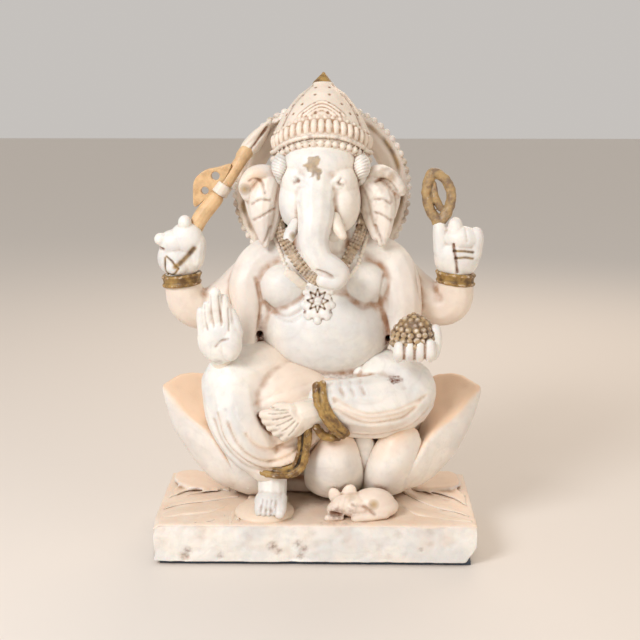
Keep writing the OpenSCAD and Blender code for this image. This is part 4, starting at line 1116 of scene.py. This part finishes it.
left_tusk = carve("left_tusk", [
    roll([(8.5, -22, 125, 3.6), (10.8, -28, 119.5, 3.7), (13.2, -31, 115, 2.8)])], 0.5, 2)
weather(left_tusk, 6)
finish(left_tusk, waxed, "marble", "left_tusk")
right_tusk = carve("right_tusk", [
    roll([(-15, -20, 121, 3.4), (-18, -26, 115.5, 3.8), (-19, -28, 113, 3.4)])], 0.5, 2,
    [block(-22.5, -31, 107.5, 12, 14, 6, (15, -35, 0))])
spots(right_tusk, "gilt", (-16, -30, 115, 3, 0.9))
weather(right_tusk, 6)
finish(right_tusk, marble, "marble", "right_tusk")

# ---------------------------------------------------------------- ears
# Each ear rolls over at its top, folds in twice and hangs to a point on the
# shoulder, with gold and ochre left inside the roll.

ear_shapes = {
    "right": [
        [(-29, 7, 147, 6), (-29.5, 5, 134, 6.5), (-30.5, 3, 122, 5.5), (-32.5, -1, 111, 3.5)],
        [(-29, 4, 148, 4.5), (-35, 0, 150.5, 4.6), (-42, -1, 148.5, 5), (-46.5, 0, 141.5, 4.6),
         (-45.5, 1, 136, 4)],
        [(-33, 3, 144, 7.5), (-36, 1, 134, 8.8), (-36.6, -1, 124, 7.8), (-35.6, -3, 114, 5),
         (-34.6, -4, 106, 2.6)],
        [(-40, 5, 143, 7), (-42, 5, 134, 6), (-41, 4, 124, 4.6)]],
    "left": [
        [(29, 7, 147, 6), (29.5, 5, 134, 6.5), (31.5, 3, 122, 5.5), (34.5, -1, 111, 3.5)],
        [(29, 4, 147, 4.5), (36, 0, 150.6, 4.6), (43, -1, 147.5, 4.4), (48, 0, 141, 4.2),
         (49.6, 1, 138, 2.8)],
        [(32, 3, 143, 7.5), (37, 1, 134, 8.6), (38.4, -1, 124, 7.4), (38.6, -3, 114, 5),
         (37.6, -4, 107, 2.6)],
        [(42, 5, 143, 6.5), (44, 5, 134, 5.4), (42.4, 4, 124, 4.4)]],
}
ear_creases = {
    "right": [[(-43, 131), (-37, 134), (-31, 133.4)], [(-42, 121), (-35, 124.5), (-29, 128)],
              [(-44, 145), (-40, 146.4), (-36, 144), (-34, 138)], [(-36.5, 105), (-33.5, 110), (-31, 117)]],
    "left": [[(33, 134), (38, 134.4), (43, 131.6)], [(33, 126), (38, 124.6), (44, 121)],
             [(33, 145), (39, 146), (44, 142.5), (46.4, 139)], [(38.4, 105), (36, 111), (33.4, 118)]],
}
for name, side in (("right", -1), ("left", 1)):
    ear = carve(name + "_ear", [roll(path) for path in ear_shapes[name]], 0.6, 4)
    for crease in ear_creases[name]:
        score(ear, crease, 0.9, 0.9, grime=0.3)
    points, normals = surface(ear)
    if side < 0:
        spots(ear, "gilt", (-47, -4, 140, 4.5, 0.9))
        spots(ear, "warm", (-41, -5, 147, 9, 0.6))
    else:
        patch = np.clip(near(points, 40, -4, 147, 8) + ripple(points, 3, 0.6), 0, 1)
        stain(ear, "grime", 0.35 * patch)
        stain(ear, "gilt", 0.5 * patch)
    stain(ear, "warm", 0.2)
    weather(ear, 8)
    finish(ear, marble, "marble", name + "_ear")

# ---------------------------------------------------------------- crown
# A tall cone in low relief: a row of upright petals round its foot, an arched
# panel over the brow, and rings of small studs, with brown in every groove.

LEAN = math.radians(8)
CROWN_Z = 157.5


def arch(turn):
    """How far the crown's rim and bands rise over the brow at a turn from the front."""
    turn = abs((turn + 180) % 360 - 180)
    return 8 * math.cos(math.radians(turn * 90 / 66)) if turn < 66 else 0


def on_crown(turn, up, out=0.0, arched=1.0):
    """A place on the crown: its turn from the front, its height over the rim and how far it stands out."""
    up = up + arched * arch(turn)
    radius = out + np.interp(up, [-3, 6, 12, 17.5, 22, 29, 33, 39.5, 43.5, 46.5],
                             [28.4, 30.2, 30, 29, 27, 23, 20, 14.6, 9.2, 6])
    x = radius * math.sin(math.radians(turn))
    y = -radius * math.cos(math.radians(turn))
    return (x + 0.02 * up, 13 + y * math.cos(LEAN) + up * math.sin(LEAN),
            CROWN_Z - y * math.sin(LEAN) + up * math.cos(LEAN))


crown_rows = np.linspace(0, 1, 33)
count = 72
corners = [at(*on_crown(turn, 47 * row - 2.5 * (1 - row), arched=1 - row)) for row in crown_rows
           for turn in np.arange(0, 360, 360 / count)]
faces = [[i * count + j, i * count + (j + 1) % count, (i + 1) * count + (j + 1) % count, (i + 1) * count + j]
         for i in range(len(crown_rows) - 1) for j in range(count)]
faces += [list(range(count)), list(range((len(crown_rows) - 1) * count, len(crown_rows) * count))]
mesh = bpy.data.meshes.new("cone")
mesh.from_pydata(corners, [], faces)
cone = bpy.data.objects.new("cone", mesh)
bpy.context.collection.objects.link(cone)
crown_parts = [cone]
for i in range(40):
    turn = 9 * i
    crown_parts.append(roll([(*on_crown(turn, 7.2, -0.6), 1.7), (*on_crown(turn, 10, 0.0), 2.0),
                             (*on_crown(turn, 12.4, 0.2), 1.7)]))
for height in (8.3, 6.0, 3.8):
    crown_parts.append(roll([
        (*on_crown(0.31 * a * (height + 2), 24.5 + height * math.cos(math.radians(a * 9)), 0.1, 0), 0.8)
        for a in (-10, -7, -3.5, 0, 3.5, 7, 10)]))
for i in range(36):
    crown_parts.append(lump(*on_crown(10 * i + 5, 15.6, 0.1), 1.8, 1.8, 1.8))
crown = carve("crown", crown_parts, 0.5, 1)
points, normals = surface(crown)
dots = np.zeros(len(points))
for up, count in ((26, 20), (32, 15), (38, 11), (43, 7)):
    for i in range(count):
        spot = on_crown(360 * (i + 0.5) / count, up, arched=0)
        dots = np.maximum(dots, near(points, *spot, 1.3))
reshape(crown, points - normals * (0.5 * dots)[:, None])
stain(crown, "grime", 0.7 * dots)
for edge in (58, -58):
    line = [on_crown(edge, up, arched=0) for up in (18, 24, 30, 36, 42, 45)]
    score(crown, [(p[0], p[2]) for p in line], 0.7, 0.7, grime=0.4)
stain(crown, "grime", np.clip(ripple(points, 5, 0.7) - 0.1, 0, 0.4) * (points[:, 2] < CROWN_Z + 18))
stain(crown, "warm", 0.08)
weather(crown, 5, 0.09)
finish(crown, waxed, "marble", "crown")

band_parts = []
for i in range(90):
    band_parts.append(lump(*on_crown(4 * i, 3.6, 0.7), 4, 4, 2.8))
for i in range(44):
    band_parts.append(lump(*on_crown(360 * i / 44, -0.8, 1.0), 4.2, 4.2, 4.2))
for i in range(72):
    band_parts.append(lump(*on_crown(5 * i, -2.6, -0.6), 4, 4, 3))
band = carve("crown_band", band_parts, 0.5, 1)
points, normals = surface(band)
stain(band, "grime", np.clip(0.05 + ripple(points, 4, 0.7), 0, 0.45))
weather(band, 5, 0.1)
finish(band, waxed, "tinted_marble", "crown_band")

finial = carve("crown_finial", [
    roll([(0.6, 19.5, 202, 6.6), (1.0, 20, 204.5, 5.6), (1.2, 20.2, 207.4, 3.2), (1.3, 20.4, 209.4, 1.2)]),
    lump(0.6, 19.5, 202.4, 13.4, 13.4, 4)], 0.5, 2)
points, normals = surface(finial)
stain(finial, "gilt", 0.5)
stain(finial, "grime", 0.95 * np.clip((208 - points[:, 2]) / 4, 0.5, 1))
weather(finial, 6, 0.3)
finish(finial, gilded, "gilded_marble", "crown_finial")

# ---------------------------------------------------------------- halo
# A flat ring behind the head with a groove near its rim and a row of pearls
# round its edge. The axe's shaft ends in a bud on its face.

halo_low, halo_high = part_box("halo_ring")
HALO_Y = ((halo_low.y + halo_high.y) / 2 - at(0, 0, 0).y) / MM
HALO_Z = 135
HALO_R = 55.5


def on_halo(turn, radius):
    """A place in the halo's plane: its turn from straight up in degrees and its radius."""
    return radius * math.sin(math.radians(turn)), HALO_Z + radius * math.cos(math.radians(turn))


halo_rolls = []
for radius, thick, y in ((51.5, 4.4, 0), (47.5, 4.6, 0.4), (43.8, 4.2, 0.8)):
    ring_path = [on_halo(10 * i, radius) for i in range(37)]
    halo_rolls.append(roll([(x, HALO_Y + y, z, thick) for x, z in ring_path]))
halo = carve("halo_ring", halo_rolls, 1.0, 8)
points, normals = surface(halo)
radii = np.hypot(points[:, 0], points[:, 2] - HALO_Z)
groove = np.exp(-((radii - 51) / 1.0) ** 2) * (normals[:, 1] < -0.2)
reshape(halo, points - normals * groove[:, None])
broken = np.clip(0.5 + ripple(points, 9, 1.6), 0, 1)
stain(halo, "gilt", 0.9 * np.exp(-((radii - 51.5) / 1.8) ** 2) * (normals[:, 1] < 0) * broken)
stain(halo, "warm", 0.3)
weather(halo)
finish(halo, marble, "marble", "halo_ring")

pearl_parts = []
for i in range(64):
    x, z = on_halo(360 * (i + 0.5) / 64, HALO_R)
    if z > HALO_Z - 40:
        size = 4.8 + noise.noise(Vector((x, 0, z)) * 0.7)
        pearl_parts.append(lump(x, HALO_Y, z, size, 6.5, size))
pearls = carve("halo_pearls", pearl_parts, 0.6, 1)
points, normals = surface(pearls)
stain(pearls, "warm", 0.2)
stain(pearls, "gilt", 0.5 * np.clip(ripple(points, 12, 2.4), 0, 1))
weather(pearls, 6, 0.3)
finish(pearls, marble, "gilded_marble", "halo_pearls")

bud = carve("halo_bud", [
    roll([(-48.5, 20, 160, 4.4), (-45, 22, 164, 5.6), (-40.5, 24.5, 169.5, 5.2), (-36.5, 26.5, 174.5, 3.6),
          (-33, 28, 179.5, 1.6)]),
    roll([(-47, 19, 166, 2.2), (-41, 21, 172, 2.4), (-35, 24, 178, 1.4)])], 0.5, 2)
score(bud, [(-46, 160.5), (-41, 167), (-34.5, 176)], 1.0, 0.8, grime=0.7)
score(bud, [(-50.5, 163), (-45.5, 158.5)], 0.8, 0.8, grime=0.7)
weather(bud, 5, 0.2)
finish(bud, waxed, "amber_marble", "halo_bud")

# ---------------------------------------------------------------- studio
# A plain pale floor, a soft world light, and three large soft lamps.

floor_tone, floor_surface = start_material("pale_floor")
floor_surface.inputs["Base Color"].default_value = linear("#e4dcd3")
floor_surface.inputs["Roughness"].default_value = 0.6
bpy.ops.mesh.primitive_plane_add(size=6, location=(0, 1.2, 0))
floor = bpy.context.object
floor.name = "floor"
floor.data.materials.append(floor_tone)

world = bpy.data.worlds.new("soft_room")
world.use_nodes = True
world.node_tree.nodes["Background"].inputs["Color"].default_value = linear("#f4efea")
world.node_tree.nodes["Background"].inputs["Strength"].default_value = 0.62
bpy.context.scene.world = world
bpy.context.scene.view_settings.view_transform = "Standard"


def lamp(name, place, size, power, colour):
    bpy.ops.object.light_add(type="AREA", location=place)
    light = bpy.context.object
    light.name = name
    light.data.size = size
    light.data.energy = power
    light.data.color = linear(colour)[:3]
    light.rotation_euler = (Vector((0, 0, 0.15)) - Vector(place)).to_track_quat("-Z", "Y").to_euler()


lamp("key", (-0.55, -0.75, 0.75), 0.4, 8.5, "#fafbff")
lamp("fill", (0.8, -0.6, 0.3), 0.7, 2.0, "#ffeedd")
lamp("back", (0.2, 0.7, 0.7), 0.6, 2.5, "#ffe8d0")

bpy.ops.object.camera_add(location=(0.01526, -0.77063, 0.30491),
                          rotation=(math.radians(90 - 11.77), 0, math.radians(0.958)))
camera = bpy.context.object
camera.data.lens = 70.3
camera.data.sensor_width = 36
bpy.context.scene.camera = camera
